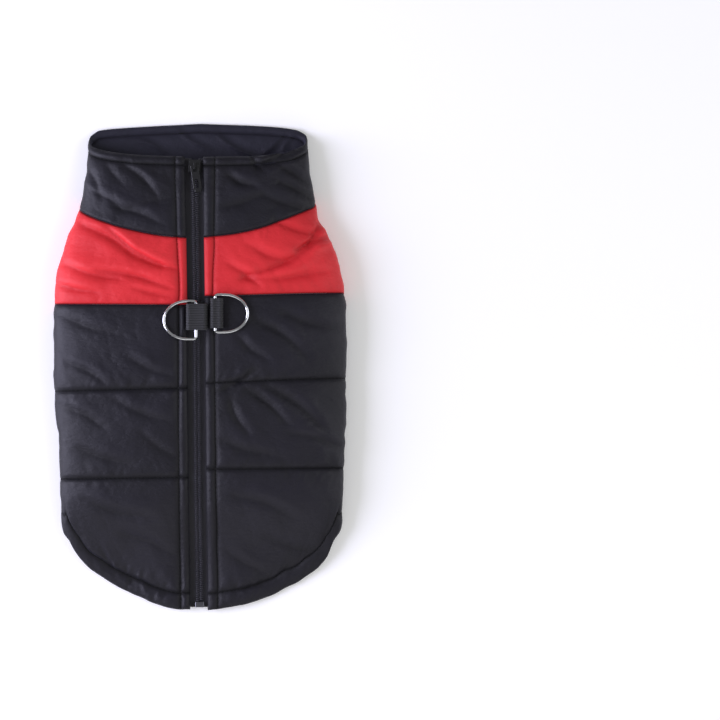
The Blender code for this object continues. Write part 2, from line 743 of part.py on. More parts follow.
def pull_tab(paint):
    """The tab hangs from a crossbar inside the slider's lug, its tip towards the hem."""
    half = TAB_WIDE / 2
    parts = []
    for size in (
        (-half, half, -TAB_LONG + 2.2, 0.6, -TAB_THICK / 2, TAB_THICK / 2),
        (-half + 0.8, half - 0.8, -TAB_LONG, -TAB_LONG + 3.0, -0.56, 0.56),
        (-1.5, 1.5, -4.2, -0.6, -3.0, 3.0),
        (-1.3, 1.3, -TAB_LONG + 2.6, -TAB_LONG + 9.5, -3.0, 3.0),
    ):
        bm = bmesh.new()
        block(bm, *size)
        if size[4] > -2:
            bmesh.ops.bevel(
                bm, geom=bm.edges[:], offset=0.22, segments=2, profile=0.5, affect="EDGES"
            )
        for turn, axis in ((TAB_DROOP, "X"), (TAB_TURN, "Z")):
            grid = Matrix.Rotation(math.radians(turn), 3, axis)
            bmesh.ops.rotate(bm, verts=bm.verts[:], matrix=grid)
        bmesh.ops.translate(bm, verts=bm.verts[:], vec=(0, HINGE_Y, HINGE_Z))
        slope, place = on_zip(bm, SLIDER_Y)
        parts.append(finish("shape", bm, paint))
    made = join("zip_pull_tab", parts[:2], paint)
    for cutter in parts[2:]:
        cutter.hide_render = True
        cutter.display_type = "WIRE"
        step = made.modifiers.new("eye", "BOOLEAN")
        step.operation = "DIFFERENCE"
        step.solver = "EXACT"
        step.object = cutter
        settle(made)
        bpy.data.objects.remove(cutter)
    tilt = Matrix.Rotation(slope, 3, "X")
    hinge = tilt @ Matrix.Translation((0, HINGE_Y, HINGE_Z)).to_translation()
    set_origin(made, tuple(hinge[k] + place[k] for k in range(3)))
    axis = tilt @ Matrix.Rotation(math.radians(TAB_TURN), 3, "Z") @ Matrix.Identity(3).col[0]
    print("pull tab hinge, mm:", [round(v * 1000, 3) for v in made.location])
    print("pull tab axis:", [round(v, 5) for v in axis])
    return made


def clear_scene():
    for thing in list(bpy.data.objects):
        bpy.data.objects.remove(thing)


def build():
    clear_scene()
    black = material("black_shell", (46, 46, 54), 0.48, 0.0)
    red = material("red_shell", (208, 48, 54), 0.5, 0.0)
    tape = material("zip_tape_black", (30, 30, 34), 0.8, 0.0)
    teeth = material("zip_teeth_black", (52, 52, 58), 0.45, 0.0)
    metal = material("slider_black", (40, 40, 44), 0.35, 0.6)
    steel = material("ring_chrome", (205, 206, 210), 0.15, 1.0)
    ribbed = material("webbing_black", (44, 44, 50), 0.7, 0.0)

    pieces = [back_panel(True, black), back_panel(False, black)]
    pieces += [yoke(True, red), yoke(False, red), belly_panel(black)]
    for panel in (pieces[1], pieces[3], pieces[4]):
        cut_armhole(panel, ARMHOLE_RIGHT)
    for panel in (pieces[0], pieces[2], pieces[4]):
        cut_armhole(panel, ARMHOLE_LEFT)
    collar(black)

    top = BODY_THICK + TAPE_UNDER
    low_y, high_y = -181.0, 156.5
    zip_tape(True, tape, top, low_y, high_y)
    zip_tape(False, tape, top, low_y, high_y)
    under = top + TAPE_THICK + 0.4
    strip("zip_guard", -GUARD_WIDE, GUARD_WIDE, black, under, under + GUARD_THICK, low_y, 143.0)
    chain_top = CHAIN_MIDDLE - CHAIN_THICK / 2
    chain_low = CHAIN_MIDDLE + CHAIN_THICK / 2
    strip("zip_chain", -CHAIN_HALF, CHAIN_HALF, teeth, chain_top, chain_low,
          CHAIN_END_Y, SLIDER_Y + 0.8, 0.3)
    box = ((-3.3, 3.3, -2.1, 2.1, -1.3, 2.0),)
    join("zip_box", piece_on_zip(box, CHAIN_END_Y - 2.5, steel, 0.4), steel)
    slider(metal)
    pull_tab(metal)
    for name, side, bar, y0, y1, reach, wx0, wx1, wy0, wy1 in RINGS:
        bar_z = RING_REST + 0.3 + WEBBING + WEBBING_ROOM
        webbing_loop("webbing_" + name, wx0, wx1, wy0, wy1, bar_z, ribbed)
        ring = d_ring("d_ring_" + name, side, bar, y0, y1, reach, bar_z, steel)
        print(name, "ring hinge, mm:", [round(v * 1000, 3) for v in ring.location])


build()
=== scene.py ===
import math

import bmesh
import bpy
import numpy as np
from mathutils import Matrix, Vector


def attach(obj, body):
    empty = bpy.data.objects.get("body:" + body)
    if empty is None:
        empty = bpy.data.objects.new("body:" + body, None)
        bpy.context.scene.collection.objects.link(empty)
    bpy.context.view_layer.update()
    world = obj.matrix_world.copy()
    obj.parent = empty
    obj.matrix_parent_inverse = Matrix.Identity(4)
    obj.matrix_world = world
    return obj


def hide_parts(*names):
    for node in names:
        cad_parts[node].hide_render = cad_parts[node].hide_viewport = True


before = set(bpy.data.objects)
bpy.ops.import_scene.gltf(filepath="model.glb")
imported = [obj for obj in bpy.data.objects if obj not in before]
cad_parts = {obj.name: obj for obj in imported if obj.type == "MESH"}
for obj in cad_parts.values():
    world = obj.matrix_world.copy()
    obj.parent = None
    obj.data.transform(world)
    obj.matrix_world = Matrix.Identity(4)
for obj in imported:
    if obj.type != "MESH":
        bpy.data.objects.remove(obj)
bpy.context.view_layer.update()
mm = 0.001

# The jacket's form, in millimetres as the frame has it

body = dict(
    sections=(
        # y, half width left, half width right, height of the middle, height of the folds
        (190, 83.6, 80.8, 21, 15),
        (172, 84.2, 81.2, 23, 16),
        (162, 84.5, 81.5, 24.5, 16.5),
        (148, 85.1, 82.2, 26.5, 17.5),
        (133, 88.1, 85.1, 28, 18),
        (118, 91.1, 88.1, 29, 18.5),
        (110, 94.1, 89.8, 29.5, 19),
        (103, 97.1, 94.7, 30, 19.5),
        (88, 101.6, 100.9, 31, 20.5),
        (73, 106.1, 105.4, 31.5, 21.5),
        (58, 108.4, 108.4, 32, 22),
        (43, 109.8, 109.2, 32, 22),
        (-2, 109.9, 109.9, 32, 22),
        (-32, 109.1, 109.8, 31, 22),
        (-62, 106.2, 109, 29.5, 21.5),
        (-92, 105.3, 107.6, 27, 20),
        (-115, 104.6, 106.9, 23, 17),
        (-130, 103.6, 105.4, 19.5, 14),
        (-145, 100.5, 103.6, 16.5, 11.5),
        (-160, 97, 101, 14, 10),
        (-190, 91, 94, 12, 9.5),
    ),
    upperPower=3.0,  # how square the section is above and below its folds
    lowerPower=5.5,
    halfWidth=108.0,  # of the section that the turns are measured on
    upperHigh=21.0,
    lowerHigh=11.0,
    wall=4.5,
    quarter=114.0,  # cloth in one turn
    ends=190.0,  # past the body's own ends
    zipLine=((160.0, -3.7), (40.0, -1.6), (-184.0, -0.4)),
    placket=dict(left=-7.4, right=6.2),  # its edges, from the zip's middle
    placketStitches=dict(
        left=((160.0, -14.7), (96.0, -14.3), (56.0, -13.2), (20.0, -14.0), (-190.0, -14.6)),
        right=((160.0, 15.8), (96.0, 14.2), (56.0, 12.2), (20.0, 13.4), (-190.0, 14.0)),
    ),
    hemBand=12.5,
    bellyBand=11.5,
    rimBand=6.5,
    armBand=6.5,
    gap=0.03,  # from a panel's edge to the seam's line
)
settling = dict(
    # past the belly hem the back comes down to the floor, but for a rise over the zip
    starts=98.0, ends=178.0, rest=0.5, rise=3.1, riseNear=18.0, riseFar=60.0,
)

# Lines round the tube: turn, y on the left, y on the right. The zip is at turn 0, the right
# fold at 1, the belly's middle at 2 and the left fold at 3.
lines = {
    "rim": ((0, 157.5, 157.5), (0.43, 158.6, 158), (0.75, 161.5, 161),
            (0.92, 165.5, 166.5), (1, 169.5, 170.5), (1.06, 174.5, 175),
            (1.13, 178.4, 178.6), (1.4, 180.6, 181.4), (2, 183.4, 183.4)),
    "collarSeam": ((0, 96.2, 96.8), (0.25, 98.2, 99.6), (0.5, 103, 105.2),
                   (0.75, 110.2, 113.4), (1, 119.5, 122.5), (1.12, 126, 130.5),
                   (1.43, 134.5, 140.5), (1.8, 138.5, 143.6), (2, 142, 142)),
    "colourSeam": ((0, 46.4, 52.8), (0.95, 47, 55.4), (1.12, 45, 50),
                   (1.4, 42.6, 44)),
    "quiltHigh": ((0, -15.4, -12.2), (0.95, -18.2, -8.4), (1.12, -19.4, -12.5),
                  (1.35, -15.8, -10), (2, -13.5, -13.5)),
    "quiltLow": ((0, -82.4, -76.6), (0.95, -84.2, -75.6), (1.12, -86, -79),
                 (1.4, -79.6, -76.2)),
}
hemLine = {
    # distance from the middle and y, first on the zip side, then on the belly side
    "left": (((0, -184), (21.4, -182.3), (44.6, -174.8), (61.1, -167.3), (73.9, -159.8),
              (84.4, -152.3), (91.9, -144.8), (97.1, -137.3), (100.9, -129.8)),
             ((98, -115.5), (84.4, -104.5), (62, -90.5), (32, -84.5), (0, -83))),
    "right": (((0, -184), (17, -182.6), (49, -174.8), (65, -167.3), (79.1, -159.8),
               (89.6, -152.3), (96.4, -144.8), (99.8, -137.3), (102.9, -129.8)),
              ((99, -115.5), (89.6, -107.5), (69.4, -90), (32.6, -83.2), (0, -83))),
}
bellySeam = (
    # y, distance from the middle on the left and on the right
    (150, 43.5, 46.5), (138, 48.5, 52.5), (126, 53.2, 58.5), (98, 61, 67.5),
    (60, 66.2, 73.8), (27, 68, 76), (-27, 66, 74.2), (-85, 60.5, 70),
    (-120, 58, 68),
)
armholes = {
    "right": ((92.6, 87.8), (82, 91.6), (67.9, 96.4), (54, 103.6), (40.1, 109.5),
              (31.6, 104.4), (27, 92), (25.4, 77), (26.4, 61), (32.6, 46.5),
              (46.9, 38.2), (66.4, 36.4), (81.4, 37.9), (93, 44.6), (98.2, 55),
              (96.4, 70.5)),
    "left": ((-24.6, 106.8), (-40.9, 99.4), (-53, 93.2), (-64.9, 87.8), (-78, 84),
             (-87.4, 78.6), (-91.6, 66), (-86.4, 51.6), (-76.9, 40), (-60.4, 35.8),
             (-40.9, 41.6), (-25.9, 56.3), (-19.9, 75.8), (-20.6, 94)),
}


def smoothRule(points):
    # a smooth curve through points that never swings past them
    points = sorted(points)
    xs, ys = (np.array([p[k] for p in points], float) for k in (0, 1))
    step = np.diff(xs)
    slope = np.diff(ys) / step
    lean = np.concatenate([slope[:1], np.zeros(len(xs) - 2), slope[-1:]])
    for k in range(1, len(xs) - 1):
        if slope[k - 1] * slope[k] > 0:
            lean[k] = 2 * slope[k - 1] * slope[k] / (slope[k - 1] + slope[k])

    def at(x):
        x = np.clip(x, xs[0], xs[-1])
        k = np.clip(np.searchsorted(xs, x, side="right") - 1, 0, len(xs) - 2)
        t = (x - xs[k]) / step[k]
        return ((2 * t**3 - 3 * t**2 + 1) * ys[k] + (t**3 - 2 * t**2 + t) * step[k] * lean[k]
                + (3 * t**2 - 2 * t**3) * ys[k + 1] + (t**3 - t**2) * step[k] * lean[k + 1])

    return at


def rulesOf(table):
    # a rule for each column after the first
    return [smoothRule([(row[0], row[k]) for row in table]) for k in range(1, len(table[0]))]


def arcTable(power, high):
    # the share of the way round a quarter section, with its across and up factors
    angle = np.linspace(0.0, math.pi / 2, 1601)
    across = np.sin(angle) ** (2 / power)
    up = np.cos(angle) ** (2 / power)
    run = np.concatenate([[0.0], np.cumsum(np.hypot(np.diff(across * body["halfWidth"]),
                                                  np.diff(up * high)))])
    return run / run[-1], across, up


upperArc = arcTable(body["upperPower"], body["upperHigh"])
lowerArc = arcTable(body["lowerPower"], body["lowerHigh"])
wideLeft, wideRight, highAt, foldAt = rulesOf(body["sections"])
zipX = smoothRule(body["zipLine"])
seamLeft, seamRight = rulesOf(bellySeam)


def ease(low, high, value):
    t = np.clip((value - low) / (high - low), 0.0, 1.0)
    return t * t * (3 - 2 * t)


def bell(value):
    return np.exp(-(value**2))


def halfTurn(turn):
    return np.where(turn > 2, 4 - turn, np.abs(turn))


def skin(turn, y, deep):
    # points of the tube: the turn round it, the place along it, the depth under its face
    turn, y, deep = np.broadcast_arrays(*(np.asarray(v, float) for v in (turn, y, deep)))
    left = (turn > 2) | (turn < 0)
    a = halfTurn(turn)
    half = np.where(left, wideLeft(y), wideRight(y))
    base, high = foldAt(y) / 2, highAt(y)
    upper = a <= 1
    across, up = (np.where(upper, np.interp(a, upperArc[0], upperArc[k]),
                           np.interp(2 - a, lowerArc[0], lowerArc[k])) for k in (1, 2))
    z = np.where(upper, base + (high - base - deep) * up, base - (base + 0.5 - deep) * up)
    inner = base + (high - base - body["wall"]) * up
    x = (half - deep) * across
    rise = 1 - ease(settling["riseNear"], settling["riseFar"], x)
    rest = settling["rest"] + settling["rise"] * rise
    fall = ease(settling["starts"], settling["ends"], -y) * np.maximum(inner - rest, 0.0)
    z = z - np.where(upper, fall, 0.0)
    z = np.maximum(z, np.where(deep < 2.0, 0.0, 0.4))
    return np.stack([np.where(left, -x, x), y, z], axis=-1)


def onTop(x, y):
    share = np.minimum(np.abs(x) / np.where(x < 0, wideLeft(y), wideRight(y)), 1.0)
    a = np.interp(share, upperArc[1], upperArc[0])
    return np.where(x < 0, 4 - a, a)


def beneath(x, y):
    share = np.minimum(np.abs(x) / np.where(x < 0, wideLeft(y), wideRight(y)), 1.0)
    a = 2 - np.interp(share, lowerArc[1], lowerArc[0])
    return np.where(x < 0, 4 - a, a)


def roundRule(table):
    left, right = rulesOf(table)
    return lambda turn: np.where(turn > 2, left(4 - turn), right(turn))


def hemRule():
    rules = []
    for side, (upper, lower) in ((-1, hemLine["left"]), (1, hemLine["right"])):
        points = [(float(halfTurn(onTop(side * max(x, 0.01), y))), y) for x, y in upper]
        points += [(float(halfTurn(beneath(side * max(x, 0.01), y))), y) for x, y in lower]
        rules.append(smoothRule(points))
    return lambda turn: (np.where(turn > 2, rules[0](4 - turn), rules[1](turn)) + 0.45
                         + 0.45 * softNoise(turn * body["quarter"], 0 * turn, 8.0, 43))


rim, collarSeam, colourSeam, quiltHigh, quiltLow = map(roundRule, lines.values())
hem = hemRule()


def fromZip(by):
    return lambda y: onTop(zipX(y) + by, y)


def placketStitching(side):
    # a little wavy, as a machine sews padded cloth
    rule = smoothRule(body["placketStitches"][side])
    seed = {"left": 41, "right": 42}[side]
    return lambda y: onTop(zipX(y) + rule(y) + 0.3 * softNoise(0 * y, y, 14.0, seed), y)


def acrossZip(by):
    # as fromZip, but the left side of the zip's middle counts below zero
    def at(y):
        turn = fromZip(by)(y)
        return np.where(turn > 2, turn - 4, turn)

    return at


def bellyEdge(side, outward=0.0):
    if side == "left":
        return lambda y: beneath(-seamLeft(y) - outward, y)
    return lambda y: beneath(seamRight(y) + outward, y)


def moved(rule, by):
    return lambda along: rule(along) + by


def slant(rule, turn):
    # the cosine of a line's lean against the rounds of the tube
    step = 0.004
    rise = (rule(turn + step) - rule(turn - step)) / (2 * step * body["quarter"])
    return 1 / np.sqrt(1 + rise**2)


def upTo(rule, by, limit):
    # a line a distance from another, nearer to it where it is steep, and short of a third
    leastSlant = 0.62
    return lambda turn: np.minimum(rule(turn) + by / np.maximum(slant(rule, turn), leastSlant),
                                   limit(turn))


def level(value):
    return lambda along: np.full(np.shape(along), float(value))


def smoothLoop(points, perSpan=12):
    spots = np.array(points)
    count = len(spots)
    t = (np.arange(perSpan) / perSpan)[:, None]
    loop = []
    for k in range(count):
        p0, p1, p2, p3 = (spots[(k + n) % count] for n in (-1, 0, 1, 2))
        loop.append(0.5 * (2 * p1 + (p2 - p0) * t + (2 * p0 - 5 * p1 + 4 * p2 - p3) * t**2
                           + (3 * p1 - p0 - 3 * p2 + p3) * t**3))
    return np.concatenate(loop)


armLoops = {side: smoothLoop(points) for side, points in armholes.items()}


def toLoop(x, y, loop):
    # the distance to a closed line, minus inside it, the nearest point and how far along it
    best = np.full(len(x), 1e9)
    near = np.zeros((len(x), 2))
    along = np.zeros(len(x))
    inside = np.zeros(len(x), bool)
    run = 0.0
    for p, q in zip(loop, np.roll(loop, -1, axis=0)):
        d = q - p
        long = math.hypot(*d)
        t = np.clip(((x - p[0]) * d[0] + (y - p[1]) * d[1]) / long**2, 0, 1)
        spot = p + t[:, None] * d
        gap = np.hypot(x - spot[:, 0], y - spot[:, 1])
        closer = gap < best
        best[closer] = gap[closer]
        near[closer] = spot[closer]
        along[closer] = run + t[closer] * long
        crosses = (p[1] > y) != (q[1] > y)
        inside ^= crosses & (x < p[0] + (y - p[1]) * d[0] / (d[1] if d[1] else 1e-9))
        run += long
    return np.where(inside, -best, best), near, along


def softNoise(x, y, size, seed):
    # smooth random hills about a size across, from -1 to 1
    grid = np.random.default_rng(seed).uniform(-1, 1, (64, 64))
    u, v = x / size + 31.3, y / size + 29.7
    i, j = np.floor(u).astype(int), np.floor(v).astype(int)
    fu, fv = u - i, v - j
    su, sv = fu**2 * (3 - 2 * fu), fv**2 * (3 - 2 * fv)
    i0, i1, j0, j1 = i % 64, (i + 1) % 64, j % 64, (j + 1) % 64
    return ((grid[i0, j0] * (1 - su) + grid[i1, j0] * su) * (1 - sv)
            + (grid[i0, j1] * (1 - su) + grid[i1, j1] * su) * sv)


# Creases, placed one by one
# x and y of both ends, half width, depth (a ridge where it is minus) and bow

creasesAbove = (
    # collar
    (-84.5, 150, -74, 128, 3.6, 0.5, -1.5), (-76, 130, -58, 117.5, 3.8, 0.6, -1.5),
    (-62, 119.5, -30, 108, 4, 0.7, -1.5), (-82, 137, -64, 118, 5, -0.2, -2),
    (-55, 149.5, -34.5, 131.5, 3, 0.6, -2), (-47, 150, -28, 138, 4, -0.3, 0),
    (-70, 152, -58, 138, 3.4, 0.4, 1), (24, 142.5, 40, 136.5, 3.2, 1, 1.5),
    (40, 157, 47, 149, 2.6, 0.8, 0.5), (46, 150.5, 77, 171.5, 3.2, 0.9, 2.5),
    (52, 146, 81, 163, 3.6, -0.4, 1.5), (58, 152, 83, 134, 3.2, 0.7, -2),
    (62, 138, 86, 124, 3.4, 0.8, -1.5), (50, 128, 84, 117.5, 3.6, 0.6, 1),
    (20, 120, 46, 128, 4.5, 0.6, 1), (-24, 126, -48, 120, 4.5, 0.4, 1),
    # red yoke
    (95, 96.5, 76, 88.5, 2.6, 1.5, 1), (96, 92, 84, 87, 3, -0.3, 1),
    (91.5, 110, 84, 92, 2.4, 1.1, -0.5), (88, 92, 38, 69, 3.6, 1.2, -3),
    (40, 90, 66, 80, 4, 0.8, 2), (34, 66, 92, 71, 3.6, 0.8, 2),
    (24, 76, 44, 62, 3, 0.8, -1), (60, 108, 88, 99, 3.4, 0.8, 1),
    (-86, 105, -50, 83, 3.6, 1.2, -2.5), (-68, 104, -30, 78, 3, 1, 2.5),
    (-52, 86, -20, 74, 2.8, 1.1, 2), (-98, 76, -62, 66, 3.6, 0.9, 2),
    (-74, 72, -24, 60, 3.2, 0.9, -2), (-106, 62, -78, 56, 3, 0.8, 1),
    (-46, 58, -22, 53, 2.6, 0.7, 0.5),
    # black back
    (44, 34, 78, 10, 4, 0.8, -3), (30, 22, 48, 8, 3.6, 0.7, 1.5),
    (66, 40, 98, 30, 4.2, 0.7, 2), (16, -18, 40, -4, 3.2, 0.8, 1.5),
    (38, -18, 64, -40, 3.2, 0.9, -2), (54, -16, 92, -46, 3.8, 0.9, -3),
    (24, -26, 36, -48, 3.4, 0.7, 2), (20, -56, 56, -66, 4.4, 0.6, 2),
    (70, -50, 104, -60, 3.6, 0.7, -2), (-102, 38, -66, 26, 4.2, 0.6, 2),
    (-50, 6, -22, -6, 3.6, 0.6, 1.5), (-96, 2, -70, -12, 3.4, 0.6, -1.5),
    (-60, -26, -24, -40, 3.6, 0.6, 2), (-102, -30, -74, -44, 4, 0.6, -2),
    (-40, -52, -20, -66, 3.4, 0.5, 1), (-88, -62, -54, -72, 3.8, 0.6, 1.5),
    (-84, -100, -40, -112, 4.4, 0.6, 3), (-56, -126, -22, -140, 4, 0.5, -2),
    (30, -98, 68, -112, 4.4, 0.6, -3), (52, -128, 86, -138, 4, 0.5, 2),
    (22, -140, 46, -154, 3.6, 0.5, 1),
)
creasesBelow = (
    # chest strip, gathered between the armholes
    (16, 143, 6, 104, 2.8, 1.6, 2.5), (8, 141, 1, 112, 2.4, 1.1, -1.5),
    (-2, 140, 4, 108, 2.4, 1.3, 1.5), (-14, 138, -9, 98, 2.8, 1.6, -2),
    (-22, 136, -15, 110, 2.6, 1, 1.5), (24, 138, 34, 114, 2.8, 1, 1.5),
    (40, 134, 48, 112, 3.2, 0.9, -1.5), (-36, 130, -28, 112, 3, 1, 1.5),
    (22, 92, 6, 78, 2.6, 1.2, 2), (20, 76, -14, 60, 2.8, 1.5, -2),
    (14, 66, -18, 50, 2.6, 1, 2), (-16, 84, 2, 92, 2.6, 0.9, 1),
    # belly
    (48, 30, 54, -8, 2.8, 1.2, 2), (44, 20, 24, 14, 3.4, 0.9, 2),
    (-10, 12, -46, 8, 3.2, 1.2, -4), (-14, 26, -40, 22, 3.2, 0.8, -2),
    (66, -28, 52, -60, 2.8, 0.9, 2), (44, -24, 22, -46, 3.6, 0.9, 3),
    (-40, -24, -8, -58, 3.2, 1.4, -3), (-50, -30, -20, -66, 3.2, 0.9, 2),
    (36, -58, 8, -66, 3.2, 0.7, 2), (-62, 10, -58, -12, 3.4, 0.6, 1),
    (100, -22, 80, -42, 2.6, 1.2, -2), (98, -44, 78, -62, 2.6, 1.1, -2),
    (102, 26, 80, 4, 2.8, 1, 2), (-72, -44, -100, -26, 2.8, 1.2, 3),
    (-98, -8, -74, 8, 2.8, 0.9, 2), (-100, -62, -78, -50, 2.6, 0.9, 1),
    (92, -92, 74, -80, 2.6, 1, 1), (-90, -92, -72, -80, 2.6, 1, -1),
    # yoke sides and collar
    (98, 92, 76, 104, 2.8, 1.1, 2), (90, 112, 66, 124, 3.2, 0.9, 2),
    (-96, 94, -70, 104, 2.8, 1.1, -2), (-88, 110, -64, 122, 3.2, 0.9, -2),
    (60, 150, 20, 156, 3.6, 0.8, 2), (-20, 152, -66, 150, 3.6, 0.8, -2),
    (14, 174, 45, 158.5, 2.6, 1.7, 2), (63, 173, 47, 159, 2.6, 1.5, -1.5),
    (-16, 177, 6, 165, 2.6, 1.3, 1.5), (-58, 172, -30, 163, 3, 1.2, -2),
    (74, 176, 66, 164, 2.6, 1, 1),
)


creasing = dict(
    # shares of a crease's depth, then widths and places as shares of its half width
    strength=2.3, trough=0.5, fold=0.65, ridge=0.36, least=0.35,
    foldWide=0.4, ridgeWide=1.2, ridgeAt=1.7, endWide=1.4,
)


def creaseField(x, y, creases):
    # how far creases push the cloth in: soft troughs, sharp in the middle, with a ridge beside
    push = np.zeros(len(x))
    for x0, y0, x1, y1, broad, deep, bow in creases:
        dx, dy = x1 - x0, y1 - y0
        long = math.hypot(dx, dy)
        t = ((x - x0) * dx + (y - y0) * dy) / long**2
        inside = np.clip(t, 0.0, 1.0)
        side = ((x - x0) * dy - (y - y0) * dx) / long - bow * np.sin(math.pi * inside)
        past = np.abs(t - inside) * long
        least = creasing["least"]
        taper = least + (1 - least) * np.sin(math.pi * (0.1 + 0.8 * inside))
        ends = bell(past / (creasing["endWide"] * broad))
        trough = creasing["trough"] * bell(side / broad)
        trough += creasing["fold"] * np.exp(-np.abs(side) / (creasing["foldWide"] * broad))
        away = (side + creasing["ridgeAt"] * broad) / (creasing["ridgeWide"] * broad)
        ridge = creasing["ridge"] * bell(away)
        push += creasing["strength"] * deep * taper * ends * (trough - ridge)
    return push


# Cutting and shaping a panel

def spread(sizes, cell):
    # grid stops over neighbouring spans: which span, and the share of the way across it
    stops = [(0, 0.0)]
    for k, size in enumerate(sizes):
        count = max(2, round(size / cell))
        stops += [(k, (n + 1) / count) for n in range(count)]
    return stops


def between(rules, span, share, along):
    # a place between two neighbouring rules
    place = np.zeros(len(along))
    for k in range(len(rules) - 1):
        here = span == k
        low, high = rules[k](along[here]), rules[k + 1](along[here])
        place[here] = low * (1 - share[here]) + high * share[here]
    return place


def panelGrid(cut):
    # a grid whose points know their turn and their y
    columnStops = spread(cut["across"], cut["cell"])
    rowStops = spread(cut["along"], cut["cell"])
    wide, tall = len(columnStops) - 1, len(rowStops) - 1
    bm = bmesh.new()
    bmesh.ops.create_grid(bm, x_segments=wide, y_segments=tall, size=0.5)
    place = np.array([v.co[:2] for v in bm.verts])
    i = np.rint((place[:, 0] + 0.5) * wide).astype(int)
    j = np.rint((place[:, 1] + 0.5) * tall).astype(int)
    columnSpan, columnShare = (np.array(v)[i] for v in zip(*columnStops))
    rowSpan, rowShare = (np.array(v)[j] for v in zip(*rowStops))
    y = np.zeros(len(place))
    for _ in range(7):  # each depends on the other, and a few rounds settle them
        turn = between(cut["columns"], columnSpan, columnShare, y)
        y = between(cut["rows"], rowSpan, rowShare, turn)
    turnTag = bm.verts.layers.float.new("turn")
    alongTag = bm.verts.layers.float.new("along")
    for vert, t, v in zip(bm.verts, turn, y):
        vert[turnTag] = t
        vert[alongTag] = v
    return bm, turnTag, alongTag


def readTags(verts, *tags):
    return (np.array([v[tag] for v in verts]) for tag in tags)


farAway = 99.0  # a distance past any line


def cutArmhole(bm, turnTag, alongTag, loop):
    snapReach = 1.7
    turn, y = readTags(bm.verts, turnTag, alongTag)
    flat = skin(turn, y, 0.0)
    gap, near, _ = toLoop(flat[:, 0], flat[:, 1], loop)
    gap[halfTurn(turn) < 1.0] = farAway
    bm.verts.index_update()
    doomed = [f for f in bm.faces if sum(gap[v.index] < 0.0 for v in f.verts) > 1]
    snapTag = bm.verts.layers.float.new("snap")
    for k, vert in enumerate(bm.verts):
        if abs(gap[k]) < snapReach:
            vert.co = (near[k][0], near[k][1], 0.0)
            vert[snapTag] = 1.0
    bmesh.ops.delete(bm, geom=doomed, context="FACES")
    for vert in bm.verts:
        if vert.is_boundary and vert[snapTag]:
            vert[turnTag] = float(beneath(vert.co.x, vert.co.y))
            vert[alongTag] = vert.co.y
    bm.verts.layers.float.remove(snapTag)


def lineGap(line, turn, y):
    # the distance from a stitched line and the place along it
    if line["runs"] == "round":
        return (y - line["at"](turn)) * slant(line["at"], turn), turn * body["quarter"]
    if line["runs"] == "along":
        by = 0.01
        step = skin(turn + by, y, 0.0) - skin(turn - by, y, 0.0)
        pace = np.linalg.norm(step, axis=-1) / (2 * by)
        return (turn - line["at"](y)) * pace, y
    flat = skin(turn, y, 0.0)
    gap, _, along = toLoop(flat[:, 0], flat[:, 1], line["at"])
    return np.where(halfTurn(turn) < 1.0, farAway, gap - line["inset"]), along


swelling = dict(
    # the wadding between lines, and the ripples that run away from each
    mean=0.55, reach=6.5, ripple=5.0, fineRipple=2.6, fade=31.0, clear=1.3,
    crumpleHigh=0.22, crumpleSize=12.0,
    # height and size of hills
    broad=(0.75, 34.0), middling=(0.42, 17.0), small=(0.10, 6.5), foldWave=(0.7, 7.5),
)


def hills(kind, x, y, seed):
    high, size = swelling[kind]
    return high * softNoise(x, y, size, seed)


def liftAt(cut, turn, y):
    # how far the cloth stands out from the plain tube, and how far the nearest line and the
    # nearest sewn one are
    flat = skin(turn, y, 0.0)
    a = halfTurn(turn)
    s = turn * body["quarter"]
    gaps = [lineGap(line, turn, y) for line in cut["stitched"]]
    nearest = np.min([np.abs(gap) for gap, _ in gaps], axis=0)
    sewn = np.min([np.abs(gap) for line, (gap, _) in zip(cut["stitched"], gaps)
                   if not line["open"]], axis=0)
    lift = cut["puff"] * (swelling["mean"] - np.exp(-nearest / swelling["reach"]))
    for n, (line, (gap, along)) in enumerate(zip(cut["stitched"], gaps)):
        size = np.abs(gap)
        lift -= line["deep"] * bell(size / line["broad"])
        seed = cut["seed"] + 10 * n
        ripple = softNoise(along + 0.35 * gap, 0.16 * gap, swelling["ripple"], seed)
        ripple += 0.6 * softNoise(along - 0.5 * gap, 0.2 * gap, swelling["fineRipple"], seed + 1)
        strength = 0.55 + 0.45 * softNoise(along, 0 * along, swelling["fade"], seed + 2)
        reach = np.exp(-size / line["reach"]) * (1 - bell(size / swelling["clear"]))
        lift += line["pucker"] * ripple * strength * reach
    lift *= 1 - 0.65 * bell((a - 1.0) / 0.06)
    above, below = 1 - ease(0.93, 1.04, a), ease(0.97, 1.08, a)
    lift -= above * creaseField(flat[:, 0], flat[:, 1], creasesAbove)
    lift -= below * creaseField(flat[:, 0], flat[:, 1], creasesBelow)
    uneven = hills("broad", s + 0.5 * y, y, 501) + hills("middling", s, y, 502)
    crumple = 1 - np.abs(softNoise(s + 0.4 * y, 0.6 * y, swelling["crumpleSize"], 503))
    fine = hills("small", s, y, 504) - swelling["crumpleHigh"] * crumple**6
    lift += (uneven + fine * cut["crumpled"]) * (1 - np.exp(-nearest / 5.0))
    atFold = bell((a - 1.0) / 0.075) * hills("foldWave", 0.3 * s, y, 505)
    lift += atFold * (1 - np.exp(-nearest / 4.0))
    return lift, nearest, sewn


def unroll(bm, turnTag, alongTag):
    # the cloth's own flat measure, in centimetres
    sheet = bm.loops.layers.uv.new("cloth")
    for face in bm.faces:
        for corner in face.loops:
            corner[sheet].uv = (corner.vert[turnTag] * body["quarter"] / 10,
                                corner.vert[alongTag] / 10)


def innerFace(bm):
    # the points and the faces of a second layer, joined to the first at its edges
    made = bmesh.ops.extrude_face_region(bm, geom=bm.faces[:])["geom"]
    return [[item for item in made if isinstance(item, kind)]
            for kind in (bmesh.types.BMVert, bmesh.types.BMFace)]


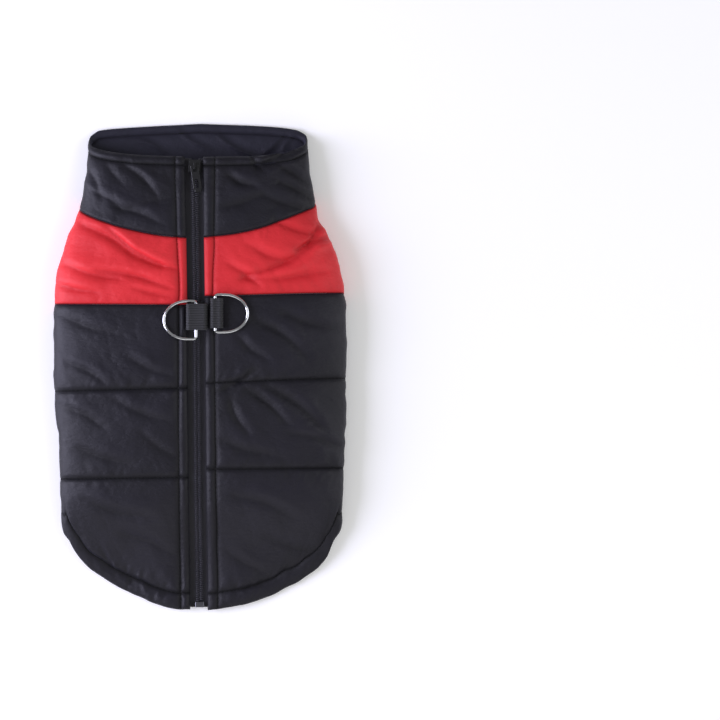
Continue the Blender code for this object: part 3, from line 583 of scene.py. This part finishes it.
def thicken(bm, *tags):
    # an inner face under the outer one, each point at its own depth
    verts, faces = innerFace(bm)
    for vert, spot in zip(verts, skin(*readTags(verts, *tags)) * mm):
        vert.co = spot
    for face in faces:
        face.material_index = 1
    bmesh.ops.recalc_face_normals(bm, faces=bm.faces[:])


def meshOf(bm, name):
    mesh = bpy.data.meshes.new(name)
    bm.to_mesh(mesh)
    bm.free()
    return mesh


def addObject(name, data):
    made = bpy.data.objects.new(name, data)
    bpy.context.scene.collection.objects.link(made)
    return made


def shapeCloth(bm, tags, spots, values):
    # moves the face's points, keeps values with them and lays the inner face under them
    unroll(bm, *tags)
    kept = {kind: bm.verts.layers.float.new(kind) for kind in values}
    for k, (vert, spot) in enumerate(zip(bm.verts, spots * mm)):
        vert.co = spot
        for kind, tag in kept.items():
            vert[tag] = values[kind][k]
    thicken(bm, *tags, kept["deep"])


def finishPiece(name, bm, paints, stands=(), rides="jacket"):
    mesh = meshOf(bm, name)
    mesh.polygons.foreach_set("use_smooth", np.ones(len(mesh.polygons), bool))
    for paint in paints:
        mesh.materials.append(paint)
    made = addObject(name, mesh)
    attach(made, rides)
    if stands:
        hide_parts(*stands)
    return made


def sewPanel(name, cut):
    bm, *tags = panelGrid(cut)
    for side in cut["arms"]:
        cutArmhole(bm, *tags, armLoops[side])
    turn, y = readTags(bm.verts, *tags)
    lift, nearest, sewn = liftAt(cut, turn, y)
    # the wadding thins out into the seams
    deep = cut["wall"] - cut["thins"] * np.exp(-nearest / 3.0) - 0.4 * lift
    # seam keeps the distance to the nearest sewn line, which the cloth paint turns into painted
    # shade
    values = {"lift": lift, "seam": np.minimum(sewn, 9.0), "deep": deep}
    shapeCloth(bm, tags, skin(turn, y, -lift), values)
    panel = finishPiece(name + "_cloth", bm, cut["paints"], (name,))
    print("sewn", name, len(panel.data.polygons), "faces")


# Stitches

thread = dict(
    pitch=3.1, long=2.5, thick=0.42, proud=0.12,
    keepTurn=0.004, keepAlong=0.4,  # how far a line stops short of the panel's edges
    samples=dict(round=2400, along=1500, loop=900),
)


def smallBead(around, tall):
    # a ball of a few faces, to be copied many times
    bm = bmesh.new()
    bmesh.ops.create_uvsphere(bm, u_segments=around, v_segments=tall, radius=1.0)
    return meshOf(bm, "bead")


def addCopy(bm, bead, matrix):
    shape = bead.copy()
    shape.transform(matrix)
    bm.from_mesh(shape)
    bpy.data.meshes.remove(shape)


stitchBead, toothBead = smallBead(6, 4), smallBead(8, 6)


def addStitches(bm, spots):
    # small capsules end to end along a line of points in millimetres
    step = np.linalg.norm(np.diff(spots, axis=0), axis=1)
    run = np.concatenate([[0.0], np.cumsum(step)])
    for middle in np.arange(thread["pitch"] / 2, run[-1], thread["pitch"]):
        ends = [Vector([np.interp(middle + by, run, spots[:, k]) for k in range(3)])
                for by in (-thread["long"] / 2, thread["long"] / 2)]
        ahead = ends[1] - ends[0]
        turned = ahead.to_track_quat("X", "Z").to_matrix().to_4x4()
        sized = Matrix.Diagonal((ahead.length / 2, thread["thick"] / 2, thread["thick"] / 2, 1.0))
        place = Matrix.Translation((ends[0] + ends[1]) / 2) @ turned @ sized
        addCopy(bm, stitchBead, Matrix.Scale(mm, 4) @ place)


def insideCut(cut, turn, y):
    aside, short = thread["keepTurn"], thread["keepAlong"]
    keep = (turn > cut["columns"][0](y) + aside) & (turn < cut["columns"][-1](y) - aside)
    keep &= (y > cut["rows"][0](turn) + short) & (y < cut["rows"][-1](turn) - short)
    flat = skin(turn, y, 0.0)
    for side in cut["arms"]:
        gap, _, _ = toLoop(flat[:, 0], flat[:, 1], armLoops[side])
        keep &= (halfTurn(turn) < 1.0) | (gap > body["armBand"] - 1.0)
    return keep


def loopOutside(loop, by):
    # a line round a closed one, a distance outside it
    out = np.roll(loop, -1, axis=0) - np.roll(loop, 1, axis=0)
    out = np.stack([out[:, 1], -out[:, 0]], axis=1) / np.linalg.norm(out, axis=1)[:, None]
    gap, _, _ = toLoop(*(loop + out).T, loop)
    wider = loop + out * np.sign(gap)[:, None] * by
    wider = np.concatenate([wider, wider[:1]])
    fine = np.linspace(0, len(wider) - 1, thread["samples"]["loop"])
    return (np.interp(fine, np.arange(len(wider)), wider[:, k]) for k in (0, 1))


def stitchPanel(name, cut, paint):
    bm = bmesh.new()
    for line in cut["stitched"]:
        if not line["thread"]:
            continue
        if line["runs"] == "round":
            turn = np.linspace(0.0, 4.0, thread["samples"]["round"])
            y = line["at"](turn)
        elif line["runs"] == "along":
            y = np.linspace(-body["ends"], body["ends"], thread["samples"]["along"])
            turn = line["at"](y)
        else:
            x, y = loopOutside(line["at"], line["inset"])
            turn = beneath(x, y)
        keep = insideCut(cut, turn, y)
        spots = skin(turn, y, -liftAt(cut, turn, y)[0] - thread["proud"])
        breaks = np.flatnonzero(np.diff(keep.astype(int))) + 1
        for part in np.split(np.arange(len(y)), breaks):
            if keep[part[0]] and len(part) > 4:
                addStitches(bm, spots[part])
    finishPiece(name + "_stitches", bm, [paint])


# Finishes

class Shade:
    # one output of a node tree, used in sums as a number is
    def __init__(self, tree, output=None):
        self.tree = tree
        self.output = output

    def node(self, kind, settings=None, sockets=None, out=0):
        made = self.tree.nodes.new("ShaderNode" + kind)
        for key, value in (settings or {}).items():
            setattr(made, key, value)
        for key, value in (sockets or {}).items():
            if isinstance(value, Shade):
                self.tree.links.new(value.output, made.inputs[key])
            else:
                made.inputs[key].default_value = value
        return Shade(self.tree, made.outputs[out] if made.outputs else None)

    def maths(self, operation, first, second=0.0):
        return self.node("Math", {"operation": operation}, {0: first, 1: second})

    def __add__(self, other):
        return self.maths("ADD", self, other)

    def __sub__(self, other):
        return self.maths("SUBTRACT", self, other)

    def __rsub__(self, other):
        return self.maths("SUBTRACT", other, self)

    def __mul__(self, other):
        return self.maths("MULTIPLY", self, other)

    __radd__ = __add__
    __rmul__ = __mul__

    def sine(self):
        return self.maths("SINE", self)

    def size(self):
        return self.maths("ABSOLUTE", self)

    def held(self, low=0.0, high=1.0):
        return self.maths("MINIMUM", self.maths("MAXIMUM", self, low), high)

    def blend(self, first, second):
        # a colour between two, by this value
        sockets = {0: self, 6: first, 7: second}
        return self.node("Mix", {"data_type": "RGBA"}, sockets, out=2)

    def raised(self, distance, under=None, strength=1.0):
        # a bump of this height, its distance in millimetres
        sockets = {"Height": self, "Distance": distance * mm, "Strength": strength}
        if under:
            sockets["Normal"] = under
        return self.node("Bump", None, sockets)

    def place(self):
        return self.node("TexCoord", out="Object")

    def cover(self, sockets):
        # the surface that all the rest leads to
        surface = self.node("BsdfPrincipled", None, sockets)
        self.node("OutputMaterial", None, {"Surface": surface})


def paintNamed(name):
    paint = bpy.data.materials.new(name)
    paint.use_nodes = True
    paint.node_tree.nodes.clear()
    return paint, Shade(paint.node_tree)


def speckle(shade, place, scale, detail=2.0, rough=0.55, stretch=(1.0, 1.0, 1.0)):
    spots = shade.node("Mapping", None, {"Vector": place, "Scale": stretch})
    sockets = {"Vector": spots, "Scale": scale, "Detail": detail, "Roughness": rough}
    return shade.node("TexNoise", None, sockets)


def rgb(red, green, blue):
    # a screen colour as a shader's linear one
    return tuple(((v / 255 + 0.055) / 1.055) ** 2.4 for v in (red, green, blue)) + (1.0,)


def clothPaint(name, look):
    # woven polyester: uneven in tone, with painted shade in its troughs and along seams and
    # painted light on its ridges
    paint, shade = paintNamed(name)
    place = shade.place()
    flat = shade.node("UVMap", {"uv_map": "cloth"})
    u, v = (shade.node("SeparateXYZ", None, {0: flat}, out=k) for k in (0, 1))
    turns = math.pi * look["threads"]
    weave = (u * turns).sine() * (v * turns).sine()
    slub = speckle(shade, flat, 3.0, 3.0, 0.6, (0.4, 9.0, 1.0))
    cloudy = speckle(shade, place, 24.0, 3.0)
    grain = speckle(shade, place, 900.0, 2.0)
    crinkle = speckle(shade, flat, 1.5, 4.0, 0.62, (1.0, 1.6, 1.0))
    lift = shade.node("Attribute", {"attribute_name": "lift"}, out="Fac")
    # painted shade and painted light: the tone follows the lift, darker in troughs and creases,
    # lighter on ridges
    ridge = (lift * 0.45 + 0.5).held()
    tone = (cloudy * 0.35 + grain * 0.15 + ridge * 0.55 + weave * 0.05 - 0.04).held()
    # painted shade along sewn lines: near a seam the colour turns to the look's trough colour
    seam = shade.node("Attribute", {"attribute_name": "seam"}, out="Fac")
    groove = (1.0 - seam * 1.15).held()
    dip = (1.0 - seam * 0.42).held()
    seamShade = (groove * (cloudy * 0.5 + 0.75) + dip * dip * 0.4).held()
    colour = seamShade.blend(tone.blend(look["dark"], look["light"]), look["trough"])
    rough = (look["rough"] + cloudy * 0.10 - ridge * 0.06 + grain * 0.05 + dip * 0.12).held()
    wander = speckle(shade, flat, 0.62, 2.0, 0.5, (1.0, 1.5, 1.0))
    crease = (1.0 - (wander - 0.5).size() * 15.0).held()
    patch = (speckle(shade, flat, 0.21, 1.0) * 5.0 - 2.3).held()
    normal = (crinkle - crease * patch * 0.25).raised(look["crinkle"])
    normal = (groove * -1.0).raised(0.45, normal)
    normal = (weave + slub * 0.8).raised(0.03, normal, 0.6)
    shade.cover({
        "Base Color": colour, "Roughness": rough, "Normal": normal,
        "Specular IOR Level": look["gloss"], "Sheen Weight": look["sheen"],
        "Sheen Roughness": 0.45, "Sheen Tint": look["sheenTint"]})
    return paint


# trough: the colour of the painted shade along seams
blackLook = dict(
    threads=26, dark=rgb(8, 7, 12), light=rgb(28, 26, 36), trough=rgb(4, 4, 6),
    rough=0.46, crinkle=0.45, gloss=0.31, sheen=0.05, sheenTint=rgb(200, 200, 245),
)
redLook = dict(
    blackLook, dark=rgb(186, 27, 34), light=rgb(232, 54, 60), trough=rgb(160, 5, 10), gloss=0.26,
    sheen=0.04, sheenTint=rgb(255, 200, 210))
blackShell = clothPaint("black shell", blackLook)
redShell = clothPaint("red shell", redLook)
# painted light: the collar's inner face is a lighter copy of the black cloth, standing in for
# light inside the collar
collarLiningLit = clothPaint("collar lining painted light", dict(
    blackLook, dark=rgb(26, 25, 36), light=rgb(42, 41, 54), trough=rgb(23, 22, 31),
    rough=0.6, sheen=0.12))
blackLining = clothPaint("black lining", dict(
    blackLook, dark=rgb(22, 21, 27), light=rgb(34, 33, 41), rough=0.6, sheen=0.08))
# painted shade: the yokes' inner faces are a darker copy of the red cloth, standing in for the
# shade inside the jacket
redLiningShaded = clothPaint("red lining painted shade", dict(
    redLook, dark=rgb(88, 12, 18), light=rgb(122, 22, 28), rough=0.6, sheen=0.05))


def threadPaint(name, dark, light):
    paint, shade = paintNamed(name)
    place = shade.place()
    fibres = speckle(shade, place, 2600.0, 2.0)
    patches = speckle(shade, place, 120.0, 1.0)
    colour = (fibres * 0.6 + patches * 0.4).held().blend(dark, light)
    shade.cover({
        "Base Color": colour, "Roughness": 0.6, "Normal": fibres.raised(0.05),
        "Specular IOR Level": 0.2})
    return paint


blackThread = threadPaint("black thread", rgb(6, 6, 8), rgb(20, 19, 24))
redThread = threadPaint("red thread", rgb(126, 8, 14), rgb(168, 18, 24))


def ribbedPaint(name, look):
    # narrow fabric: ribs across it and fine threads along it
    paint, shade = paintNamed(name)
    place = shade.place()
    x, y = (shade.node("SeparateXYZ", None, {0: place}, out=k) for k in (0, 1))
    rib = (y * (2 * math.pi / (look["rib"] * mm))).sine()
    fine = (x * (2 * math.pi / (look["fine"] * mm))).sine()
    fibres = speckle(shade, place, 1400.0, 3.0)
    patches = speckle(shade, place, 60.0, 2.0)
    tone = (rib * 0.22 + fine * 0.08 + fibres * 0.4 + patches * 0.25 + 0.12).held()
    height = rib * look["ribHeight"] + fine * 0.25 + fibres * 0.5
    shade.cover({
        "Base Color": tone.blend(look["dark"], look["light"]),
        "Roughness": (fibres * 0.2 + look["rough"]).held(),
        "Normal": height.raised(look["bump"]), "Sheen Weight": 0.15})
    return paint


tapePaint = ribbedPaint("zip tape", dict(
    rib=0.55, fine=0.8, dark=rgb(26, 25, 31), light=rgb(50, 49, 57),
    ribHeight=0.5, bump=0.08, rough=0.62))
webbingPaint = ribbedPaint("ribbed webbing", dict(
    rib=1.84, fine=0.7, dark=rgb(10, 10, 13), light=rgb(30, 30, 36),
    ribHeight=0.2, bump=0.12, rough=0.5))


def smoothPaint(name, look):
    # moulded, enamelled or plated parts with faint marks of use
    paint, shade = paintNamed(name)
    place = shade.place()
    marks = speckle(shade, place, 420.0, 4.0, 0.7, (1.0, 0.15, 1.0))
    cloudy = speckle(shade, place, 90.0, 2.0)
    colour = (marks * 0.5 + cloudy * 0.5).held().blend(look["dark"], look["light"])
    rough = (look["rough"] + marks * look["marks"]).held(0.02, 1.0)
    shade.cover({
        "Base Color": colour, "Roughness": rough, "Metallic": look["metal"],
        "Normal": marks.raised(0.01), "Coat Weight": look["coat"], "Coat Roughness": 0.12})
    return paint


steelLook = dict(
    dark=rgb(84, 84, 90), light=rgb(128, 128, 134), rough=0.28, marks=0.15, metal=1.0, coat=0.0)
steel = smoothPaint("dull steel", steelLook)
chrome = smoothPaint("chrome plate", dict(
    steelLook, dark=rgb(196, 198, 204), light=rgb(232, 233, 236), rough=0.05, marks=0.10))
enamel = smoothPaint("black enamel", dict(
    steelLook, dark=rgb(8, 8, 10), light=rgb(18, 18, 22), rough=0.3, metal=0.0, coat=0.25))
coilPaint = smoothPaint("coil nylon", dict(
    steelLook, dark=rgb(44, 43, 49), light=rgb(72, 71, 79), rough=0.3, metal=0.0, coat=0.2))
print("finishes mixed")

# The panels

seamEdge = dict(broad=1.2, deep=0.9, pucker=0.75, reach=6.0, thread=False, open=False)
openEdge = dict(seamEdge, broad=1.3, deep=1.0, pucker=0.25, open=True)
topStitch = dict(broad=1.3, deep=0.9, pucker=0.6, reach=6.0, thread=True, open=False)
placketStitch = dict(topStitch, deep=0.8, pucker=0.3)
quilting = dict(topStitch, broad=1.5, deep=1.2, pucker=0.95, reach=8.0)
padded = dict(
    cell=1.25, wall=body["wall"], thins=1.9, paints=(blackShell, blackLining),
    slot="black_shell")


def roundLine(rule, kind):
    return dict(kind, runs="round", at=rule)


def alongLine(rule, kind):
    return dict(kind, runs="along", at=rule)


def armLines(side):
    return [dict(openEdge, runs="loop", at=armLoops[side], inset=0.0),
            dict(topStitch, runs="loop", at=armLoops[side], inset=body["armBand"])]


def sideCut(side):
    # what a back panel and a yoke share: from the placket, over the side fold, to the belly
    edge, stitching = fromZip(body["placket"][side]), placketStitching(side)
    fold = level({"left": 3, "right": 1}[side])
    columns, across = (edge, stitching, fold, bellyEdge(side, body["gap"])), (7.5, 97, 38)
    order = -1 if side == "left" else 1
    stitched = [alongLine(edge, openEdge), alongLine(stitching, placketStitch),
                alongLine(bellyEdge(side), seamEdge)] + armLines(side)
    return dict(padded, columns=columns[::order], across=across[::order], stitched=stitched,
                arms=(side,))


def backCut(side, seed, area):
    cut = sideCut(side)
    band = upTo(hem, body["hemBand"], moved(quiltLow, -3.5))
    cut["stitched"] += [
        roundLine(hem, dict(openEdge, pucker=0.6, reach=8)),
        roundLine(band, dict(topStitch, pucker=1.2, reach=8)), roundLine(quiltLow, quilting),
        roundLine(quiltHigh, quilting), roundLine(colourSeam, seamEdge)]
    return dict(
        cut, rows=(hem, band, quiltLow, quiltHigh, moved(colourSeam, -body["gap"])),
        along=(12, 84, 66, 62), puff=1.5, crumpled=1, seed=seed,
        flat=(0.150, 0.240), area=area)


def yokeCut(side, seed, area):
    cut = sideCut(side)
    cut["stitched"] += [roundLine(colourSeam, seamEdge), roundLine(collarSeam, seamEdge)]
    return dict(
        cut, rows=(moved(colourSeam, body["gap"]), moved(collarSeam, -body["gap"])),
        along=(62,), puff=1.3, crumpled=1.1, seed=seed, paints=(redShell, redLiningShaded),
        slot="red_shell", flat=(0.160, 0.098), area=area)


def bellyCut():
    band = upTo(hem, body["bellyBand"], moved(quiltHigh, -6))
    stitched = [
        alongLine(bellyEdge("right"), seamEdge), alongLine(bellyEdge("left"), seamEdge),
        roundLine(hem, dict(openEdge, pucker=1.2, reach=9)),
        roundLine(band, dict(topStitch, pucker=1.3, reach=9)),
        roundLine(quiltHigh, quilting), roundLine(collarSeam, seamEdge)]
    return dict(
        padded, across=(72, 66), rows=(hem, band, quiltHigh, moved(collarSeam, -body["gap"])),
        columns=(bellyEdge("right", -body["gap"]), level(2), bellyEdge("left", -body["gap"])),
        along=(11, 61, 154), arms=("left", "right"), puff=1.3, crumpled=1.9, seed=600,
        stitched=stitched + armLines("left") + armLines("right"),
        flat=(0.145, 0.238), area=0.0252)


def collarCut():
    right, left = (fromZip(body["placket"][side]) for side in ("right", "left"))
    inRight, inLeft = (placketStitching(side) for side in ("right", "left"))
    inRim = moved(rim, -body["rimBand"])
    stitched = [
        alongLine(right, openEdge), alongLine(left, openEdge),
        alongLine(inRight, placketStitch), alongLine(inLeft, placketStitch),
        roundLine(collarSeam, seamEdge), roundLine(rim, openEdge), roundLine(inRim, topStitch)]
    return dict(
        padded, columns=(right, inRight, level(1), level(2), level(3), inLeft, left),
        across=(8.5, 72, 84, 86, 72, 7.5), along=(53, 6.5),
        rows=(moved(collarSeam, body["gap"]), inRim, rim), cell=1.2, arms=(),
        stitched=stitched, puff=1.2, crumpled=1.2, seed=800, wall=4.2, thins=2.9,
        paints=(blackShell, collarLiningLit), flat=(0.345, 0.065), area=0.0179)


panels = {
    "back_panel_left": (backCut("left", 100, 0.0301), blackThread),
    "back_panel_right": (backCut("right", 200, 0.0311), blackThread),
    "yoke_left": (yokeCut("left", 300, 0.0092), redThread),
    "yoke_right": (yokeCut("right", 400, 0.0080), redThread),
    "belly_panel": (bellyCut(), blackThread),
    "collar": (collarCut(), blackThread),
}
for panelName, (panelCut, panelThread) in panels.items():
    sewPanel(panelName, panelCut)
    stitchPanel(panelName, panelCut, panelThread)
print("panels sewn")

# The zip

zipper = dict(
    tapeDepth=5.3, tapeThick=1.0, tapeEdge=12.5, tapeLow=-181.0, tapeHigh=156.5,
    guardDepth=6.7, guardThick=1.2, guardHalf=16.0, guardHigh=143.0,
    chainDepth=3.6, chainLow=-176.0, chainHigh=151.0, toothPitch=1.4,
    toothLong=3.4, toothWide=0.78, toothHigh=2.1, toothAt=1.3, toothLean=0.16,
)


def sewStrip(name, cut):
    # a narrow strip that follows the zip
    bm, *tags = panelGrid(cut)
    turn, y = readTags(bm.verts, *tags)
    deep = cut["depth"] + cut["wavy"] * softNoise(turn * 23.0, y, 9.0, cut["seed"])
    spots = skin(turn, y, deep)
    # seam: the distance to the stitching, which the cloth paint turns into painted shade
    seam = np.abs(np.abs(spots[:, 0] - zipX(y)) - cut["stitching"])
    shapeCloth(bm, tags, spots, {"seam": seam, "deep": deep + cut["thick"]})
    strip = finishPiece(name + "_cloth", bm, [cut["paint"]] * 2, (name,))


def tapeEdge(side):
    # the tapes part a little above the slider
    return lambda y: acrossZip(side * (0.4 + 2.4 * ease(146.0, 156.0, y)))(y)


for tapeName, tapeSide in (("zip_tape_left", -1), ("zip_tape_right", 1)):
    tapeColumns = (tapeEdge(tapeSide), acrossZip(tapeSide * zipper["tapeEdge"]))
    sewStrip(tapeName, dict(
        columns=tapeColumns if tapeSide > 0 else tapeColumns[::-1], across=(12.0,),
        rows=(level(zipper["tapeLow"]), level(zipper["tapeHigh"])), along=(338.0,),
        cell=1.3, depth=zipper["tapeDepth"], thick=zipper["tapeThick"],
        wavy=0.12, seed=71, stitching=11.0, paint=tapePaint, slot="zip_tape_black",
        flat=(0.0121, 0.3375)))
sewStrip("zip_guard", dict(
    columns=(acrossZip(-zipper["guardHalf"]), acrossZip(zipper["guardHalf"])),
    across=(32.0,), rows=(level(zipper["tapeLow"]), level(zipper["guardHigh"])),
    along=(324.0,), cell=1.5, depth=zipper["guardDepth"], thick=zipper["guardThick"],
    wavy=0.25, seed=72, stitching=13.0, paint=blackLining, slot="black_shell",
    flat=(0.032, 0.324)))
print("tapes and guard sewn")


def coilTeeth():
    # both halves of the coil, meeting in the middle
    bm = bmesh.new()
    pitch, depth = zipper["toothPitch"], zipper["chainDepth"]
    reach = 3.0  # over which the zip's slope is taken
    size = Matrix.Diagonal((zipper["toothLong"] / 2, zipper["toothWide"] / 2,
                            zipper["toothHigh"] / 2, 1.0))
    for k in range(int((zipper["chainHigh"] - zipper["chainLow"]) / pitch)):
        for side in (-1, 1):
            y = zipper["chainLow"] + pitch * (k + (0.5 if side > 0 else 0.0))
            x = float(zipX(y))
            near = np.array([y - reach, y, y + reach])
            high = skin(onTop(x, near), near, depth)[:, 2]
            place = Matrix.Translation((x + side * zipper["toothAt"], y, high[1]))
            lean = Matrix.Rotation(math.atan2(high[2] - high[0], 2 * reach), 4, "X")
            lean = lean @ Matrix.Rotation(side * zipper["toothLean"], 4, "Z")
            addCopy(bm, toothBead, Matrix.Scale(mm, 4) @ place @ lean @ size)
    finishPiece("zip_teeth", bm, [coilPaint], ("zip_chain",))


coilTeeth()
print("zip closed")

# The leash rings and their webbing

ring = dict(wire=1.2, corner=2.2, tilt=4.0, barZ=36.15, straight=7.0)
rings = {
    # side, bar x, y of the ring's ends, reach, then the webbing's x and y
    "left": (-1, -1.9, 19.7, 50.4, 25.2, -9.4, 6.6, 27.6, 47.3),
    "right": (1, 12.4, 24.8, 55.2, 25.4, 8.6, 18.4, 28.9, 51.5),
}
webbing = dict(
    thick=0.9, room=1.75, rib=1.84, ribHigh=0.32, cells=(0.45, 0.23),
    edgeThin=0.25, edgeWide=0.5, sag=0.3,
)


def bendRing(name, side, barX, lowY, highY, reach):
    middle, half = (lowY + highY) / 2, (highY - lowY) / 2 - ring["wire"]
    bow = reach - ring["wire"] - ring["straight"]
    corner = ring["corner"]
    bend = [(corner * (1 - math.cos(t)), half - corner * (1 - math.sin(t)))
            for t in np.radians(np.linspace(9.0, 90.0, 10))]
    path = [(0.0, (half - corner) * k) for k in np.linspace(-1, 1, 7)] + bend
    for angle in np.radians(np.linspace(88, -88, 45)):
        path.append((ring["straight"] + bow * math.cos(angle), half * math.sin(angle)))
    path += [(across, -along) for across, along in reversed(bend)]
    fall = math.radians(ring["tilt"])
    data = bpy.data.curves.new(name, "CURVE")
    data.dimensions = "3D"
    data.bevel_depth = ring["wire"] * mm
    data.bevel_resolution = 5
    line = data.splines.new("POLY")
    line.points.add(len(path) - 1)
    for (across, along), spot in zip(path, line.points):
        spot.co = ((barX + side * across * math.cos(fall)) * mm, (middle + along) * mm,
                   (ring["barZ"] - across * math.sin(fall)) * mm, 1.0)
    line.use_cyclic_u = True
    holder = addObject(name, data)
    graph = bpy.context.evaluated_depsgraph_get()
    bm = bmesh.new()
    bm.from_mesh(holder.evaluated_get(graph).to_mesh())
    bpy.data.objects.remove(holder)
    bmesh.ops.remove_doubles(bm, verts=bm.verts[:], dist=0.01 * mm)
    bmesh.ops.recalc_face_normals(bm, faces=bm.faces[:])
    finishPiece("d_" + name + "_wire", bm, [chrome], ("d_" + name,), name)


def foldWebbing(name, x0, x1, y0, y1):
    # a ribbed ribbon folded round the ring's bar
    outer = webbing["room"] + webbing["thick"]
    flatRun, bend = x1 - x0 - 2 * outer, math.pi * outer
    whole = 2 * (flatRun + bend)
    bm = bmesh.new()
    cellRound, cellAlong = webbing["cells"]
    bmesh.ops.create_grid(bm, x_segments=int(whole / cellRound),
                          y_segments=int((y1 - y0) / cellAlong), size=0.5)
    roundTag = bm.verts.layers.float.new("round")
    alongTag = bm.verts.layers.float.new("along")
    for vert in bm.verts:
        vert[roundTag] = (vert.co.x + 0.5) * whole % whole
        vert[alongTag] = y0 + (vert.co.y + 0.5) * (y1 - y0)

    def place(vert, under):
        s, y = vert[roundTag], vert[alongTag]
        rib = webbing["ribHigh"] * (abs(math.sin(math.pi * (y - y0) / webbing["rib"])) - 0.7)
        rib -= webbing["edgeThin"] * max(0.0, 1 - min(y - y0, y1 - y) / webbing["edgeWide"])
        radius = outer - under + (-rib if under else rib)
        if s < flatRun:
            spot = (x0 + outer + s, radius - webbing["sag"] * math.sin(math.pi * s / flatRun))
        elif s < flatRun + bend:
            angle = (s - flatRun) / outer
            spot = (x1 - outer + radius * math.sin(angle), radius * math.cos(angle))
        elif s < 2 * flatRun + bend:
            spot = (x1 - outer - (s - flatRun - bend), -radius)
        else:
            angle = (s - 2 * flatRun - bend) / outer
            spot = (x0 + outer - radius * math.sin(angle), -radius * math.cos(angle))
        return Vector((spot[0], y, ring["barZ"] + spot[1])) * mm

    for vert in bm.verts:
        vert.co = place(vert, 0.0)
    bmesh.ops.remove_doubles(bm, verts=bm.verts[:], dist=0.01 * mm)
    for vert in innerFace(bm)[0]:
        vert.co = place(vert, webbing["thick"])
    bmesh.ops.recalc_face_normals(bm, faces=bm.faces[:])
    loop = finishPiece(name + "_ribbon", bm, [webbingPaint], (name,))
    whole * mm


for sideName, (side, barX, lowY, highY, reach, x0, x1, y0, y1) in rings.items():
    bendRing("ring_" + sideName, side, barX, lowY, highY, reach)
    foldWebbing("webbing_" + sideName, x0, x1, y0, y1)
print("rings and webbing made")

for nodeName, paint in (("zip_slider", enamel), ("zip_pull_tab", enamel), ("zip_box", steel)):
    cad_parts[nodeName].material_slots[0].material = paint

# Floor, light and camera

studio = dict(
    middle=(0.1204, 0.00525),  # where the camera looks: the jacket keeps the left half
    height=3.02, lens=200.0, sensor=36.0, fill=0.27, floorDrop=0.0003,
    softboxes=(
        # name, power, place, size, tint
        ("left softbox", 47.0, (-1.38, -0.05, 0.53), (1.0, 1.9), (0.79, 0.78, 1.0)),
        ("right softbox", 9.0, (1.30, 0.0, 0.80), (1.0, 1.7), (0.94, 0.95, 1.0)),
        ("near softbox", 5.5, (0.0, -1.35, 1.10), (1.8, 0.8), (1.0, 0.98, 0.97)),
    ),
)


def addLight(name, power, place, size, tint):
    data = bpy.data.lights.new(name, "AREA")
    data.shape = "RECTANGLE"
    data.size, data.size_y = size
    data.energy = power
    data.color = tint
    light = addObject(name, data)
    light.location = place
    light.rotation_euler = (-Vector(place)).to_track_quat("-Z", "Y").to_euler()


def layFloor():
    paint, shade = paintNamed("floor")
    shade.cover({
        "Base Color": (0.95, 0.95, 0.945, 1.0), "Roughness": 0.85, "Specular IOR Level": 0.2,
        "Emission Color": (1.0, 1.0, 0.98, 1.0), "Emission Strength": 0.15})
    bm = bmesh.new()
    bmesh.ops.create_grid(bm, x_segments=4, y_segments=4, size=4.0)
    bmesh.ops.translate(bm, verts=bm.verts[:], vec=(0, 0, -studio["floorDrop"]))
    mesh = meshOf(bm, "floor")
    mesh.materials.append(paint)
    addObject("floor", mesh)


layFloor()
world = bpy.data.worlds.new("studio")
world.use_nodes = True
sky = world.node_tree.nodes["Background"].inputs
sky["Color"].default_value = (1.0, 1.0, 1.0, 1.0)
sky["Strength"].default_value = studio["fill"]
bpy.context.scene.world = world
bpy.context.scene.view_settings.view_transform = "Standard"
for softbox in studio["softboxes"]:
    addLight(*softbox)

camera = addObject("camera", bpy.data.cameras.new("camera"))
camera.data.lens = studio["lens"]
camera.data.sensor_width = studio["sensor"]
camera.data.clip_end = 20.0
camera.location = (*studio["middle"], studio["height"])
bpy.context.scene.camera = camera

print("scene ready")
